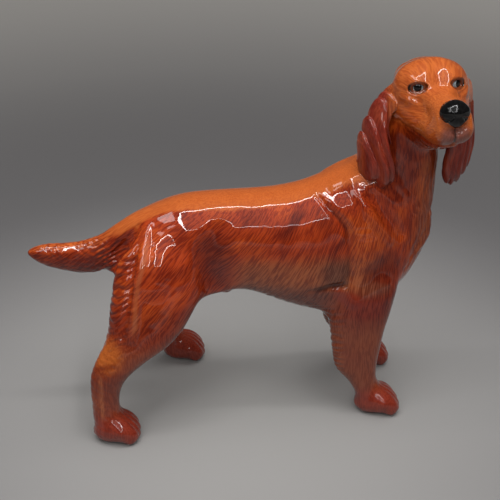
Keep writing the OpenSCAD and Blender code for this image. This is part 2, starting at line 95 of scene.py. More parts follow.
class Field:
    """Distances in millimetres, sampled on a block of the frame"""

    def __init__(self, low, high, step):
        self.step = step
        self.first = np.floor(np.array(low) / step).astype(int)
        self.shape = tuple(np.ceil(np.array(high) / step).astype(int) - self.first + 1)
        self.d = None

    def axes(self):
        return [(self.first[i] + np.arange(self.shape[i], dtype=np.float32)) * np.float32(self.step)
                for i in range(3)]

    def window(self, low, high):
        """The samples between two corners, and their places along each axis"""
        at = []
        for i in range(3):
            a = int(np.floor(low[i] / self.step)) - self.first[i]
            b = int(np.ceil(high[i] / self.step)) - self.first[i] + 1
            at.append(slice(max(a, 0), max(min(b, self.shape[i]), 0)))
        return tuple(at), self.grid(at)

    def grid(self, at=(slice(None),) * 3):
        """The places of samples along x, y and z, shaped to spread over their block"""
        return np.meshgrid(*[axis[s] for axis, s in zip(self.axes(), at)], indexing="ij", sparse=True)

    def blend(self, at, d, k, cut=False):
        """Joins the distances d to the field with a fillet of about k, or cuts them out of it"""
        f = self.d[at]
        if cut:
            h = np.clip(0.5 - 0.5 * (f + d) / k, 0, 1)
            self.d[at] = f * (1 - h) - d * h + k * h * (1 - h)
        else:
            h = np.clip(0.5 + 0.5 * (f - d) / k, 0, 1)
            self.d[at] = f * (1 - h) + d * h - k * h * (1 - h)

    def path(self, points, radii, k, cut=False):
        """A round form, or a groove, that runs through the points"""
        points, radii = np.array(points, float), np.array(radii, float)
        reach = radii.max() + k + 2 * self.step
        at, (x, y, z) = self.window(points.min(0) - reach, points.max(0) + reach)
        if 0 in self.d[at].shape:
            return
        nearest = np.full(self.d[at].shape, 1e3, np.float32)
        for a, b, ra, rb in zip(points, points[1:], radii, radii[1:]):
            run = b - a
            t = ((x - a[0]) * run[0] + (y - a[1]) * run[1] + (z - a[2]) * run[2]) / max(run @ run, 1e-9)
            t = np.clip(t, 0, 1)
            d = np.sqrt((x - a[0] - t * run[0]) ** 2 + (y - a[1] - t * run[1]) ** 2
                        + (z - a[2] - t * run[2]) ** 2) - (ra + t * (rb - ra))
            nearest = np.minimum(nearest, d.astype(np.float32))
        self.blend(at, nearest, k, cut)

    def blob(self, middle, radii, turn, k):
        """An egg-shaped form with its own axes, the columns of turn"""
        middle, radii = np.array(middle, float), np.array(radii, float)
        reach = radii.max() + k + 2 * self.step
        at, (x, y, z) = self.window(middle - reach, middle + reach)
        if 0 in self.d[at].shape:
            return
        p = [(x - middle[0]) * turn[0][i] + (y - middle[1]) * turn[1][i] + (z - middle[2]) * turn[2][i]
             for i in range(3)]
        k0 = np.sqrt(sum((p[i] / radii[i]) ** 2 for i in range(3)))
        k1 = np.sqrt(sum((p[i] / radii[i] ** 2) ** 2 for i in range(3)))
        d = k0 * (k0 - 1) / np.maximum(k1, 1e-6)
        self.blend(at, d.astype(np.float32), k)

    def blur(self, sigma):
        """A smoothed copy of the distances"""
        spread = sigma / self.step
        r = int(math.ceil(2.5 * spread))
        weights = np.exp(-0.5 * (np.arange(-r, r + 1) / spread) ** 2)
        weights /= weights.sum()
        d = self.d
        for axis in range(3):
            wide = np.pad(d, [(r, r) if i == axis else (0, 0) for i in range(3)], mode="edge")
            out = np.zeros_like(d)
            for i, w in enumerate(weights):
                at = [slice(None)] * 3
                at[axis] = slice(i, i + d.shape[axis])
                out += np.float32(w) * wide[tuple(at)]
            d = out
        return d

    def finer(self, low, high, step):
        """A new field on a block of this one, with closer samples on the curve through its samples"""
        new = Field(low, high, step)
        d = self.d
        for axis in range(3):
            p = new.axes()[axis] / self.step - self.first[axis]
            i = np.clip(np.floor(p).astype(int), 1, self.shape[axis] - 3)
            t = np.clip(p - i, 0, 1)
            weights = [((2 - t) * t - 1) * t / 2, ((3 * t - 5) * t * t + 2) / 2,
                       ((4 - 3 * t) * t + 1) * t / 2, (t - 1) * t * t / 2]
            across = [-1 if a == axis else 1 for a in range(3)]
            d = sum(np.take(d, i + n - 1, axis) * w.astype(np.float32).reshape(across)
                    for n, w in enumerate(weights))
        new.d = d
        return new

    def surface(self, level=0.0, limit=None):
        """Points and quads of the surface at a distance"""
        limit = limit or 3 * self.step + abs(level)
        grid = openvdb.FloatGrid(limit)
        grid.copyFromArray(np.clip(self.d, -limit, limit), ijk=tuple(int(v) for v in self.first))
        grid.transform = openvdb.createLinearTransform(self.step)
        grid.gridClass = openvdb.GridClass.LEVEL_SET
        return grid.convertToQuads(level)

    def read(self, values, points):
        """The samples in values, which lie as the distances do, read at any points"""
        p = np.asarray(points) / self.step - self.first
        i = np.clip(np.floor(p).astype(int), 0, np.array(self.shape) - 2)
        t = np.clip(p - i, 0, 1)
        out = 0
        for n in range(8):
            o = np.array([n & 1, n >> 1 & 1, n >> 2 & 1])
            w = np.prod(np.where(o, t, 1 - t), axis=-1)
            out = out + w * values[tuple((i + o).T)]
        return out

    def skin(self):
        """The surface's points, set on it exactly, its quads and the directions out of it"""
        points, quads = self.surface()
        for _ in range(2):
            out = self.directions(points)
            points = points - out * np.clip(self.read(self.d, points), -0.3, 0.3)[:, None]
        return points, quads, out

    def directions(self, points):
        """The directions straight out of the surface at any points"""
        out = np.stack([self.read(slope, points) for slope in np.gradient(self.d, self.step)], 1)
        return out / np.maximum(np.linalg.norm(out, axis=1), 1e-6)[:, None]


def from_surface(field, points, triangles, quads, reach):
    """Fills a field with the distances to a closed surface"""
    grid = openvdb.FloatGrid.createLevelSetFromPolygons(
        points.astype(np.float32), triangles=triangles, quads=quads,
        transform=openvdb.createLinearTransform(field.step), halfWidth=reach / field.step)
    d = np.empty(field.shape, np.float32)
    grid.copyToArray(d, ijk=tuple(int(v) for v in field.first))
    return d


def read_all(items, key, width, kind=np.float32):
    """What the items of a mesh hold under a key, width numbers each"""
    values = np.empty(len(items) * width, kind)
    items.foreach_get(key, values)
    return values.reshape(-1, width) if width > 1 else values


def solid(name):
    """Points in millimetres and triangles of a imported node"""
    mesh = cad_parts[name].data
    mesh.calc_loop_triangles()
    triangles = read_all(mesh.loop_triangles, "vertices", 3, np.int32)
    return read_all(mesh.vertices, "co", 3) / MM, triangles.astype(np.uint32)


def solids_field(field, names, reach):
    """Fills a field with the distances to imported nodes"""
    field.d = np.full(field.shape, reach, np.float32)
    for name in names:
        points, triangles = solid(name)
        field.d = np.minimum(field.d, from_surface(field, points, triangles, None, reach))


# The body: the solids joined, their inner corners filled and their facets smoothed away

JOINTS = {"neck_seam": ("torso", "head"), "tail_seam": ("torso", "tail"),
          "left_foreleg_seam": ("torso", "left_foreleg"), "right_foreleg_seam": ("torso", "right_foreleg"),
          "left_hind_seam": ("torso", "left_hind_leg"), "right_hind_seam": ("torso", "right_hind_leg"),
          "left_ear_seam": ("head", "left_ear"), "right_ear_seam": ("head", "right_ear")}
BODY_SEAMS = [seam for seam, (inner, outer) in JOINTS.items() if inner == "torso"]
BODY_NODES = ["torso"] + [JOINTS[seam][1] for seam in BODY_SEAMS] + BODY_SEAMS
ROOM = 8  # mm that the body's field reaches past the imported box
FILLET = 6.0  # mm, the least radius that a finger leaves in soft clay
# the middle of the hollow, which is filled so that no fillet runs inside it
CORE = [(-42, 0, 77), (-20, 0, 76), (20, 0, 73), (42, 0, 76), (58, 0, 92), (62, 0, 115), on_head(-2, 0, -4),
        on_head(9, 0, -2)]
CORE_RADII = [10, 13.5, 16, 16, 14.5, 9.5, 10, 9]

body = Field(np.array(cad_box[0]) / MM - ROOM, np.array(cad_box[1]) / MM + ROOM, COARSE)
solids_field(body, BODY_NODES, FILLET + 2)
body.path(CORE, CORE_RADII, 0.5)
points, quads = body.surface(FILLET, FILLET + 2)
body.d = from_surface(body, points, None, quads, FILLET + 3) + FILLET


def smooth_body():
    """Facets of the solids are smoothed away: most on the trunk, least on paws, face and the tail's tip"""
    x, y, z = body.grid()
    fine, middle, broad = [body.blur(sigma) for sigma in (0.7, 1.4, 2.6)]
    trunk = band(z, 52, 66, 100, 112) * ramp(x, -56, -44)
    limbs = band(z, 12, 22, 128, 138) * ramp(x, -82, -66)
    body.d = broad * trunk + (1 - trunk) * (middle * limbs + fine * (1 - limbs))


smooth_body()


# Modelling on the body: forms laid on its surface, the same on both sides

def curve(points, closeness=4):
    """More points on the smooth curve through the points"""
    points = np.array(points, float)
    before = np.vstack([2 * points[0] - points[1], points[:-1]])
    after = np.vstack([points[1:], 2 * points[-1] - points[-2]])
    slope = (after - before) / 2
    out = [points[:1]]
    for a, b, sa, sb in zip(points, points[1:], slope, slope[1:]):
        t = (np.arange(1, closeness + 1) / closeness)[:, None]
        out.append((1 + 2 * t) * (1 - t) ** 2 * a + t * (1 - t) ** 2 * sa + t * t * (3 - 2 * t) * b
                   + t * t * (t - 1) * sb)
    return np.vstack(out)


def on_skin(field, points, lift):
    """The points moved to the nearest place on a surface, then lifted off it by lift millimetres"""
    points = np.array(points, float)
    for _ in range(4):
        slope = np.stack([field.read(field.d, points + d) - field.read(field.d, points - d)
                          for d in np.eye(3) * field.step], 1)
        slope /= np.maximum(np.linalg.norm(slope, axis=1), 1e-6)[:, None]
        points = points - slope * field.read(field.d, points)[:, None]
    return points + slope * lift


def model(points, radii, k, cut=False, lift=0.0, left=0.0):
    """A raised form or a groove that runs over both flanks, left millimetres further forward on the left"""
    line = curve([(x, y, z, r) for (x, y, z), r in zip(points, radii)])
    for side in (1, -1):
        places = line[:, :3] * (1, side, 1) + (left if side < 0 else 0, 0, 0)
        body.path(on_skin(body, places, lift), line[:, 3], k, cut)


PAWS = [(63.1, -18.0), (66.1, 19.6), (-47.6, -28.4), (-18.1, 30.5)]  # the foremost place of each paw
STRIDE = 29.5  # mm that the left hind leg stands before the right one
SPREAD = 59  # mm between the hind legs
CREASE = [(26.0, -9.6, 98.2), (28.7, -12.2, 95.6), (34.0, -16.0, 90.8), (37.6, -17.7, 86), (38.8, -18.5, 80),
          (39.0, -19.0, 73), (39.5, -18.4, 65)]  # behind the shoulder
FOLD = [(23, -18.6, 58), (28, -18.6, 59.1), (32.5, -18.2, 60.3), (37.0, -17.6, 61.2)]  # above the elbow


def model_shoulder():
    """The blade's front edge, the upper arm, the crease behind it, the elbow and the fold above it"""
    model([(45, -17, 90), (46.5, -18, 77), (45, -18, 66)], [4, 6, 4], 4, lift=-4.9)
    model([(41, -12, 100), (44, -14, 96), (48.5, -15.8, 89.6), (55.1, -15.9, 79.6)],
          [0.6, 1.7, 2.0, 0.9], 2.5, lift=-0.8)
    model([(33, -8.2, 101.6), (40, -8.5, 103.6), (46, -9, 107)], [0.3, 1.5, 0.4], 4, lift=-1.4)
    model([(47.5, -14.4, 99), (53.5, -16.6, 91), (60, -16, 82)], [0.4, 1.2, 0.4], 5, cut=True, lift=0.7)
    model(CREASE, [0.2, 0.7, 1.5, 1.6, 1.2, 0.8, 0.2], 1.8, cut=True, lift=0.1)
    model([(38.5, -16, 58.2), (41.5, -16.5, 54)], [3.4, 2.6], 2.5, lift=-2.5)
    model(FOLD, [0.1, 0.8, 1.4, 1.0], 1.4, cut=True, lift=0.1)


def model_flank_and_breast():
    """A hollow before the haunch, the flank's fold to the stifle, and hair that hangs from the breast"""
    model([(-13, -13, 86), (-17, -15, 79), (-18, -16, 70), (-15, -15, 62)],
          [0.6, 2.2, 2.6, 1.2], 7, cut=True, lift=2.2, left=3)
    model([(-36, -14, 83), (-38, -17, 77), (-40, -21, 67)], [3, 6, 5], 5, lift=-5.2, left=4)
    model([(67.5, -3, 86), (71.4, -4.8, 79.5), (71.8, -5.4, 74.5), (70.2, -6.8, 71)],
          [1.8, 2.6, 2.2, 1.0], 1.8, lift=-1.0)
    model([(72, -9.3, 80), (70.5, -9.8, 75), (68.6, -10.6, 71.5), (66, -11.8, 68.5)],
          [0.1, 1.1, 1.2, 0.3], 1.3, cut=True, lift=0.1)


def model_haunch():
    """The ridge before the feathering, the hollow behind it, and the hollow that the tail comes out of"""
    model([(-40.5, -9, 87), (-42.6, -14.2, 79.4), (-43.6, -18.1, 74.8), (-45.6, -21.8, 65.7),
           (-47.7, -25.6, 54.4), (-49.3, -27.8, 46.5)],
          [0.3, 1.8, 2.1, 2.0, 1.7, 0.8], 2.2, lift=-0.7, left=4)
    model([(-44.5, -13.5, 80), (-46.4, -16.8, 73), (-48.5, -20.6, 63.5), (-51, -24, 53), (-52.5, -26, 46)],
          [0.2, 1.0, 1.1, 1.0, 0.3], 2.2, cut=True, lift=0.3, left=4)
    model([(-41.5, -8.6, 85.5), (-44.0, -10.4, 82), (-47.5, -12.5, 77), (-52, -13.5, 70), (-54.6, -15, 62)],
          [0.2, 1.6, 2.4, 2.2, 1.0], 2.0, lift=-0.8, left=2)
    model([(-42.5, -5.6, 87.6), (-45.5, -6.8, 85), (-49.5, -8.2, 80), (-53.5, -8.6, 74.5),
           (-56.5, -8.4, 68)], [0.2, 2.2, 3.8, 4.2, 2.4], 1.2, cut=True, lift=1.0, left=2)


def model_feet_and_belly():
    """The tendons behind the shanks, the toes, the firing vent and the sheath"""
    for x, y in ((0, 0), (STRIDE, SPREAD)):
        tendon = curve([(-59.5 + x, -25.5 + y, 45), (-64.2 + x, -27.2 + y, 38.5), (-65.4 + x, -28 + y, 30),
                        (-65 + x, -28.4 + y, 20)])
        radii = curve([(1.4, 0, 0), (2.2, 0, 0), (1.8, 0, 0), (1.0, 0, 0)])[:, 0]
        body.path(on_skin(body, tendon, -1.1), radii, 2.0)
    for x, y in PAWS:
        for toe in (-3.6, 0, 3.6):
            places = curve([(x - 9, y + 0.5 * toe, 13), (x - 4.5, y + 0.8 * toe, 11), (x - 1.2, y + toe, 6),
                            (x - 0.4, y + toe, 2.5)])
            body.path(on_skin(body, places, 0.5), np.linspace(0.6, 1.0, len(places)), 1.0, cut=True)
    body.path([(9.5, 0.6, 44), (9.5, 0.6, 57)], [2.5, 2.5], 0.6, cut=True)
    body.path([(-22, 0, 56), (-9.5, 0, 52.8)], [3.8, 2.4], 3)


for part in (model_shoulder, model_flank_and_breast, model_haunch, model_feet_and_belly):
    part()


def noise(p):
    """Soft random values from -1 to 1 that change over a length of 1"""
    i = np.floor(p).astype(np.int64)
    t = p - i
    t = t * t * (3 - 2 * t)
    out = 0
    for n in range(8):
        o = np.array([n & 1, n >> 1 & 1, n >> 2 & 1])
        x, y, z = (i + o).T
        # a number that looks random, mixed from the corner's place
        mixed = (x * 374761393 + y * 668265263 + z * 2147483647 + 144665) & 0xFFFFFFFF
        mixed = ((mixed ^ (mixed >> 13)) * 1274126177) & 0xFFFFFFFF
        mixed = ((mixed ^ (mixed >> 15)) * 2246822519) & 0xFFFFFFFF
        value = (mixed ^ (mixed >> 16)) / 2147483647.5 - 1
        out = out + value * np.prod(np.where(o, t, 1 - t), axis=-1)
    return out


def locks(p, across, width, along, length, stray=1.2):
    """Parallel locks of hair: round on top, with sharp grooves between them, from -1 to 1"""
    a, b = p @ np.array(across), p @ np.array(along)
    bend = noise(np.stack([a / (3 * width), b / length, p[:, 1] / 12], 1))
    bend = bend + 0.35 * noise(np.stack([a / width + 40, b / (0.4 * length), p[:, 1] / 6], 1))
    return 2 * np.abs(np.sin(np.pi * (a / width + stray * bend))) - 1.27


def behind_ridge(p):
    """Millimetres behind the ridge that runs down each haunch"""
    x, y, z = p.T
    return -42.6 - (79.4 - z) * 0.2 + np.where(y > 0, 4, 0) * ramp(z, 40, 60) - x


def coat(p):
    """Height of the modelled hair over the body, in millimetres"""
    x, y, z = p.T
    feather = ramp(behind_ridge(p), 0.8, 3.2) * band(z, 36, 48, 74, 82) * ramp(x, -66, -60)
    h = 0.27 * feather * locks(p, (-0.50, 0.0, 0.86), 2.4, (0.86, 0, 0.50), 12, 1.0)
    h += 0.10 * feather * locks(p + 5, (-0.42, 0.0, 0.9), 1.3, (0.9, 0, 0.42), 8, 1.0)
    breast = ramp(x, 52, 66) * band(z, 56, 66, 104, 116)
    h += 0.16 * breast * locks(p, (0.55, 0.84, 0.05), 2.8, (-0.15, 0, 0.99), 12)
    foreleg_back = band(x, 22, 27, 34, 40) * band(z, 9, 16, 46, 54)
    h += 0.30 * foreleg_back * locks(p, (-0.30, 0.0, 0.95), 2.3, (0.95, 0, 0.30), 10, 0.9)
    tail = band(x, -90, -84, -60, -54)
    h += 0.07 * tail * locks(p, (0.45, 0.0, 0.9), 2.6, (0.9, 0, -0.45), 10)
    belly = fall(z, 56, 66) * band(x, -12, 2, 24, 32)
    h += 0.12 * belly * locks(p, (0.9, 0.3, 0.2), 2.2, (0.2, 0.2, 0.96), 5)
    return h


def engrave(field, relief):
    """Adds a relief to a field's surface"""
    close = np.abs(field.d) < 1.4
    places = (np.argwhere(close) + field.first) * field.step
    field.d[close] -= relief(places).astype(np.float32)


# The head: lids, brow, lips and nose, the same on both sides

def face(field, points, radii, k, cut=False, lift=0.0):
    """A form or a groove on both cheeks, given in the head's frame and laid on the surface"""
    line = curve([(x, y, z, r) for (x, y, z), r in zip(points, radii)])
    for side in (1, -1):
        places = SKULL + (line[:, :3] * (1, side, 1)) @ HEAD.T
        field.path(on_skin(field, places, lift), line[:, 3], k, cut)


EYE = (10.35, 6.27, 6.05)  # the middle of the left eyeball in the head's frame
EYE_RADIUS = 3.3  # mm
GAZE_OUT = math.radians(24)
GAZE_UP = math.radians(6)
SLANT = math.radians(-8)
LID = [(t, t * 47) for t in np.linspace(-1, 1, 9)]  # places along a lid, and degrees across the gaze
NOSE_COAT = 0.25  # mm, thickness of the nose's enamel, and as much is missing from the bulb under it


def eye_place(side, out, across, up):
    """A place seen from the eyeball's middle: a distance out and the angles across and up from the gaze"""
    a, u = math.radians(across), math.radians(up)
    forward, away, high = math.cos(a) * math.cos(u), math.sin(a) * math.cos(u), math.sin(u)
    away, high = (away * math.cos(SLANT) - high * math.sin(SLANT),
                  away * math.sin(SLANT) + high * math.cos(SLANT))
    forward, high = (forward * math.cos(GAZE_UP) - high * math.sin(GAZE_UP),
                     forward * math.sin(GAZE_UP) + high * math.cos(GAZE_UP))
    x = forward * math.cos(GAZE_OUT) - away * math.sin(GAZE_OUT)
    y = forward * math.sin(GAZE_OUT) + away * math.cos(GAZE_OUT)
    return on_head(EYE[0] + out * x, side * (EYE[1] + out * y), EYE[2] + out * high)


def nose(field, grow, k):
    """The bulb of the nose, grow millimetres larger than the real one"""
    turn = HEAD.tolist()
    field.blob(on_head(33.1, 0, 4.0), (4.6 + grow, 4.9 + grow, 3.9 + grow), turn, k)
    field.path([on_head(33.7, 0, 2.9), on_head(34.2, 0, 1.9)], [3.9 + grow, 3.5 + grow], max(k, 1.6))
    for side in (1, -1):
        wing = [on_head(33.6, 2.8 * side, 3.2), on_head(33.6, 2.3 * side, 1.6)]
        field.path(wing, [2.3 + grow, 2.0 + grow], 1.4)


def nostrils(field):
    """A groove round each nostril and one between them"""
    for side in (1, -1):
        wing = [on_head(37.7, 2 * side, 2.9), on_head(37.1, 3.2 * side, 1.9), on_head(35.7, 4.6 * side, 1.6),
                on_head(34, 5.4 * side, 2)]
        field.path(wing, [0.7, 1.0, 0.7, 0.3], 0.6, cut=True)
    middle = [on_head(37.9, 0, 1.4), on_head(37.4, 0, 0), on_head(36.3, 0, -1.4)]
    field.path(middle, [0.15, 0.4, 0.4], 0.7, cut=True)


def model_brow(field):
    """Brows, the furrow between them, the ridges under the eyes, cheeks, and hollows beside the muzzle"""
    for side in (1, -1):
        out = HEAD @ np.array([0.76, 0.22 * side, 0.61])
        along = np.cross(out, HEAD @ (0, 1, 0))
        turn = np.stack([out, np.cross(along, out), along], 1).tolist()
        top = on_skin(field, [on_head(11.1, 4.4 * side, 9.0)], 0.2)[0]
        field.blob(top - 7 * out, (7, 11, 8.6), turn, 3.4)
    furrow = on_skin(field, [on_head(5, 0, 13), on_head(11, 0, 9.8), on_head(15, 0, 7.8)], 1.2)
    field.path(furrow, [0.3, 0.9, 0.5], 5, cut=True)
    face(field, [(13.2, 5.6, 1.2), (12.2, 8.4, 1.6), (9.2, 11.0, 2.8)], [0.7, 1.5, 0.9], 1.5, lift=-0.7)
    face(field, [(3, 12, -1), (8, 11.4, -3.5), (13, 10, -5)], [3, 4, 3], 4, lift=-3.2)
    face(field, [(13.5, 6.6, 1.4), (19, 6.6, 0.4), (25, 6.4, -0.2)], [0.4, 0.8, 0.3], 5, cut=True, lift=1.2)


def model_lips(field):
    """Lips, full in front, with the mouth below them, the throat's notch and a line down from the nose"""
    face(field, [(31, 3.6, -4), (26.5, 6.2, -6), (19, 8.4, -6.5)], [3.4, 3.8, 2.8], 3, lift=-3.0)
    face(field, [(35.0, 0, -12.2), (32.6, 3.4, -12.3), (28, 6.4, -12), (21, 8.7, -11.2), (13, 10.6, -9.4),
                 (8, 11.8, -7)], [0.8, 0.9, 1.0, 0.9, 0.7, 0.2], 1.4, cut=True, lift=0.15)
    field.path([on_head(33, 0, -16.6), on_head(26, 0, -17.5)], [3.0, 3.0], 3, cut=True)
    field.path(on_skin(field, [on_head(37, 0, -2.5), on_head(36.6, 0, -6), on_head(35.6, 0, -10)], 0.15),
               [0.45, 0.5, 0.5], 0.9, cut=True)


def model_eyes(field):
    """A swell for both lids of each eye, an opening between them, their thin edges and the inner corner"""
    for side in (1, -1):
        field.path([eye_place(side, 0.1, 0, 0)] * 2, [4.0] * 2, 2.6)
        opening = [eye_place(side, 4.3, a, 2) for t, a in LID]
        field.path(opening, [2.0 * (1 - t * t) ** 0.6 + 0.25 for t, a in LID], 0.5, cut=True)
        upper = [eye_place(side, 3.75, a, 2 + 31 * (1 - t * t) ** 0.7) for t, a in LID]
        lower = [eye_place(side, 3.7, a, 2 - 29 * (1 - t * t) ** 0.7) for t, a in LID]
        field.path(upper, [0.55] * len(LID), 0.7)
        field.path(lower, [0.42] * len(LID), 0.7)
        inner = [eye_place(side, 3.9, -50, 0), eye_place(side, 4.3, -70, -8)]
        field.path(on_skin(field, inner, 0.1), [0.45, 0.2], 0.8, cut=True)


def model_nose(field):
    """The nose, which stands out over the lips"""
    under = [on_head(34.0, -6.2, 3.4), on_head(36.0, -4.8, -0.6), on_head(36.8, -2.2, -2.4),
             on_head(37.0, 0, -2.9)]
    for side in (1, -1):
        places = np.array([SKULL + HEAD @ ((HEAD.T @ (p - SKULL)) * (1, side, 1)) for p in under])
        field.path(on_skin(field, places, 0.5), [0.6, 1.3, 1.4, 1.4], 1.5, cut=True)
    nose(field, -NOSE_COAT, 0.4)
    nostrils(field)


def ear_wave(p):
    """Millimetres across the wavy locks of an ear"""
    return p[:, 0] + 1.1 * np.sin(p[:, 2] / 4.6 + 0.12 * p[:, 0])


def ear_locks(p):
    """Height of the modelled locks of an ear, in millimetres"""
    low = fall(p[:, 2], 128, 145)
    wave = np.stack([ear_wave(p), p[:, 1], p[:, 2]], 1)
    h = 0.62 * low * locks(wave, (0.90, 0.42, 0.12), 3.4, (-0.12, 0, 0.99), 26, 0.55)
    return h + 0.10 * low * locks(wave + 7, (0.90, 0.42, 0.2), 1.6, (-0.2, 0, 0.97), 16, 0.7)


# The underglaze paint: a wash of colour, with painted light and shade in places, and the way that the hair is
# brushed

def linear(colour):
    """A colour written as sRGB hex, in linear light"""
    c = np.array([int(colour[i:i + 2], 16) for i in (1, 3, 5)]) / 255
    return np.where(c <= 0.04045, c / 12.92, ((c + 0.055) / 1.055) ** 2.4)


# Some of these colours stand in for light: the orange is painted light from above, the dusty tan and the
# belly colour are painted reflection of the pale floor, the amber is painted light on the arm, the umber,
# maroon and soot are painted shade, the gold and the sand are painted highlights, and the mahogany is also
# laid as painted shade in places
CHESTNUT, RUSSET, MAHOGANY = map(linear, ("#922F0B", "#B04812", "#611907"))
TOP_LIGHT_ORANGE, FLOOR_SHEEN, BELLY_FLOOR_SHEEN, SHANK = map(linear, ("#B05723", "#8C4A28", "#74402E", "#74341C"))
FACE, MUZZLE, LIP, BLACK = map(linear, ("#A95122", "#B55C26", "#7A4840", "#100B0A"))
PAW, TAN, ARM_LIGHT, HOLLOW_SHADE = map(linear, ("#7A2818", "#A2603C", "#A84A18", "#5C3222"))
CREASE_SHADE, TAUPE, BRICK, FOLD_SHADE = map(linear, ("#3A0F06", "#6E4230", "#7A1C08", "#33110C"))
OXBLOOD, HOCK_HIGHLIGHT, SHIN_HIGHLIGHT = map(linear, ("#6E1A09", "#B25C20", "#B0683E"))
EAR, EAR_PALE, EAR_DARK = map(linear, ("#782618", "#8C3A22", "#4E120B"))


def jaw(p):
    """Millimetres above the line of the jaw, negative on the throat and the neck"""
    q = (p - SKULL) @ HEAD
    high = q[:, 2] + 9.5 - 0.10 * np.clip(20 - q[:, 0], 0, 40)
    return np.where(p[:, 2] > 134, np.maximum(high, 4), np.where(q[:, 0] > -4, high, -9))


def lay(paint, colour, amount):
    """Lays a colour over the paint by amounts from 0 to 1"""
    amount = np.clip(amount, 0, 1)[:, None]
    paint[:] = paint * (1 - amount) + colour * amount


def wash_trunk(paint, p, patch, edge):
    """Clouds of red and brown, dark strokes behind the shoulder, painted shade in the hollow before the
    haunch, and painted reflection of the pale floor on the lower flank, belly and breast
    """
    x, y, z = p.T
    lay(paint, RUSSET, 0.45 * ramp(patch, 0.0, 0.8))
    lay(paint, MAHOGANY, 0.45 * fall(patch, -0.9, -0.1))
    strokes = noise(np.stack([(0.8 * x - 0.6 * z) / 5, (0.6 * x + 0.8 * z) / 30, y / 20], 1))
    lay(paint, MAHOGANY, 0.9 * ramp(strokes, 0.05, 0.5) * band(x, 6, 16, 34, 40) * band(z, 72, 78, 90, 96))
    trunk = band(x, -42, -20, 44, 58)
    # painted reflection of the pale floor on the lower flank and under the belly
    lay(paint, FLOOR_SHEEN, 0.75 * trunk * fall(z - 6 * edge, 69, 77) * ramp(x, -14, 2))
    lay(paint, BELLY_FLOOR_SHEEN, 0.7 * trunk * fall(z, 56, 64) * ramp(x, -12, 2))
    # painted shade in the hollow before the haunch
    lay(paint, MAHOGANY, 0.8 * fall(np.abs(x + 15), 2, 10) * band(z, 58, 64, 80, 88))
    # painted reflection of the pale floor on the lower breast
    lay(paint, FLOOR_SHEEN, 0.55 * ramp(x, 62, 70) * fall(z, 108, 118))
    lay(paint, MAHOGANY, 0.6 * band(x, 48, 58, 62, 68) * band(z, 92, 98, 120, 126))


def wash_haunch(paint, p, edge):
    """Darker legs, and a pale ridge down each haunch. Returns where the ridge is"""
    x, y, z = p.T
    lay(paint, SHANK, 0.85 * fall(z, 38, 56))
    lay(paint, MAHOGANY, 0.55 * band(z, 38, 48, 54, 62))
    off = behind_ridge(p) + 0.8 * np.sin(z / 6) + 3 * edge
    ridge = fall(np.abs(off), 0.2, 1.7) * band(z, 46, 54, 80, 86) * ramp(np.abs(y), 6, 10)
    lay(paint, TAN, 0.4 * ridge)
    return ridge


def wash_shoulder(paint, p, outer, edge):
    """Painted light on the arm before the crease, a dark patch low on the arm, and painted shade in the
    hollow behind the crease and along it
    """
    x, y, z = p.T
    crease = np.array(CREASE[::-1])
    behind = np.interp(z, crease[:, 2], crease[:, 0]) - x
    speck = ramp(noise(p / (0.9, 1.2, 1.6)), -0.3, 0.5)
    # painted light: the arm is paler before the crease
    lay(paint, ARM_LIGHT, (0.35 + 0.4 * speck) * outer * band(behind, -17, -6, -1.2, 0.2)
        * band(z, 64, 72, 86, 94))
    off = np.hypot((x - 52.5) / 1.2, (z - 66) / 1.3) - 10 * edge
    lay(paint, MAHOGANY, 0.75 * outer * fall(off, 3.5, 9))
    # painted shade in the hollow behind the crease
    lay(paint, HOLLOW_SHADE, 0.8 * outer * ramp(behind, -0.4, 0.8) * fall(behind - 14 * edge, 7, 17)
        * ramp(z, 59, 63) * fall(z - 10 * edge, 69, 78))
    # painted shade along the crease
    lay(paint, CREASE_SHADE, (0.15 + 0.55 * ramp(z, 80, 87)) * outer * fall(np.abs(behind - 0.3), 0.2, 1.5)
        * band(z, 62, 68, 92, 97))


def wash_elbow(paint, p, outer, edge):
    """Red under the fold, painted shade along the fold, and a grey-brown band before it. Returns where the
    elbow is
    """
    x, y, z = p.T
    elbow = fall(np.hypot((x - 38) / 1.7, z - 56 + 0.3 * (x - 38)) - 10 * edge, 2.5, 5) * outer
    before = fall(np.hypot((x - 50) / 3, z - 60.5 + 0.15 * (x - 50)) - 8 * edge, 1.2, 3.6)
    lay(paint, TAUPE, 0.45 * before * outer)
    lay(paint, BRICK, 0.6 * elbow)
    fold = np.array(FOLD)
    off = z - np.interp(x, fold[:, 0], fold[:, 2]) + 4 * edge
    # painted shade in the fold above the elbow
    lay(paint, FOLD_SHADE, 0.75 * outer * fall(np.abs(off), 0.2, 1.7) * band(x, 22, 28, 36, 40))
    lay(paint, OXBLOOD, 0.75 * outer * fall(np.hypot((x - 47) / 1.8, z - 51) - 8 * edge, 3, 7))
    return elbow


def wash_back(paint, p, out, edge):
    """Painted shade under the tail, and painted light from above on a saddle along the back and on the tail's
    top. Returns where the lit saddle is
    """
    x, y, z = p.T
    tail = fall(x, -54, -46) * ramp(z, 50, 60)
    # painted shade on the tail's sides and underside, which face down
    lay(paint, MAHOGANY, 0.7 * tail * fall(out[:, 2], 0.2, 0.5))
    width = 8.6 + 0.10 * np.clip(x - 20, 0, 30) - 0.14 * np.clip(-20 - x, 0, 30)  # mm, half of the saddle
    lit_saddle = ramp(width - np.abs(y) + 7 * edge, -0.8, 0.9) * ramp(out[:, 2], 0.2, 0.4)
    lit_saddle = lit_saddle * band(z, 78, 84, 116, 128)
    # painted light from above on the up-facing top of the back
    lay(paint, TOP_LIGHT_ORANGE, 0.95 * lit_saddle)
    # painted light from above on the tail's top
    lay(paint, TOP_LIGHT_ORANGE, 0.6 * tail * ramp(out[:, 2] + edge, 0.5, 0.7))
    return lit_saddle


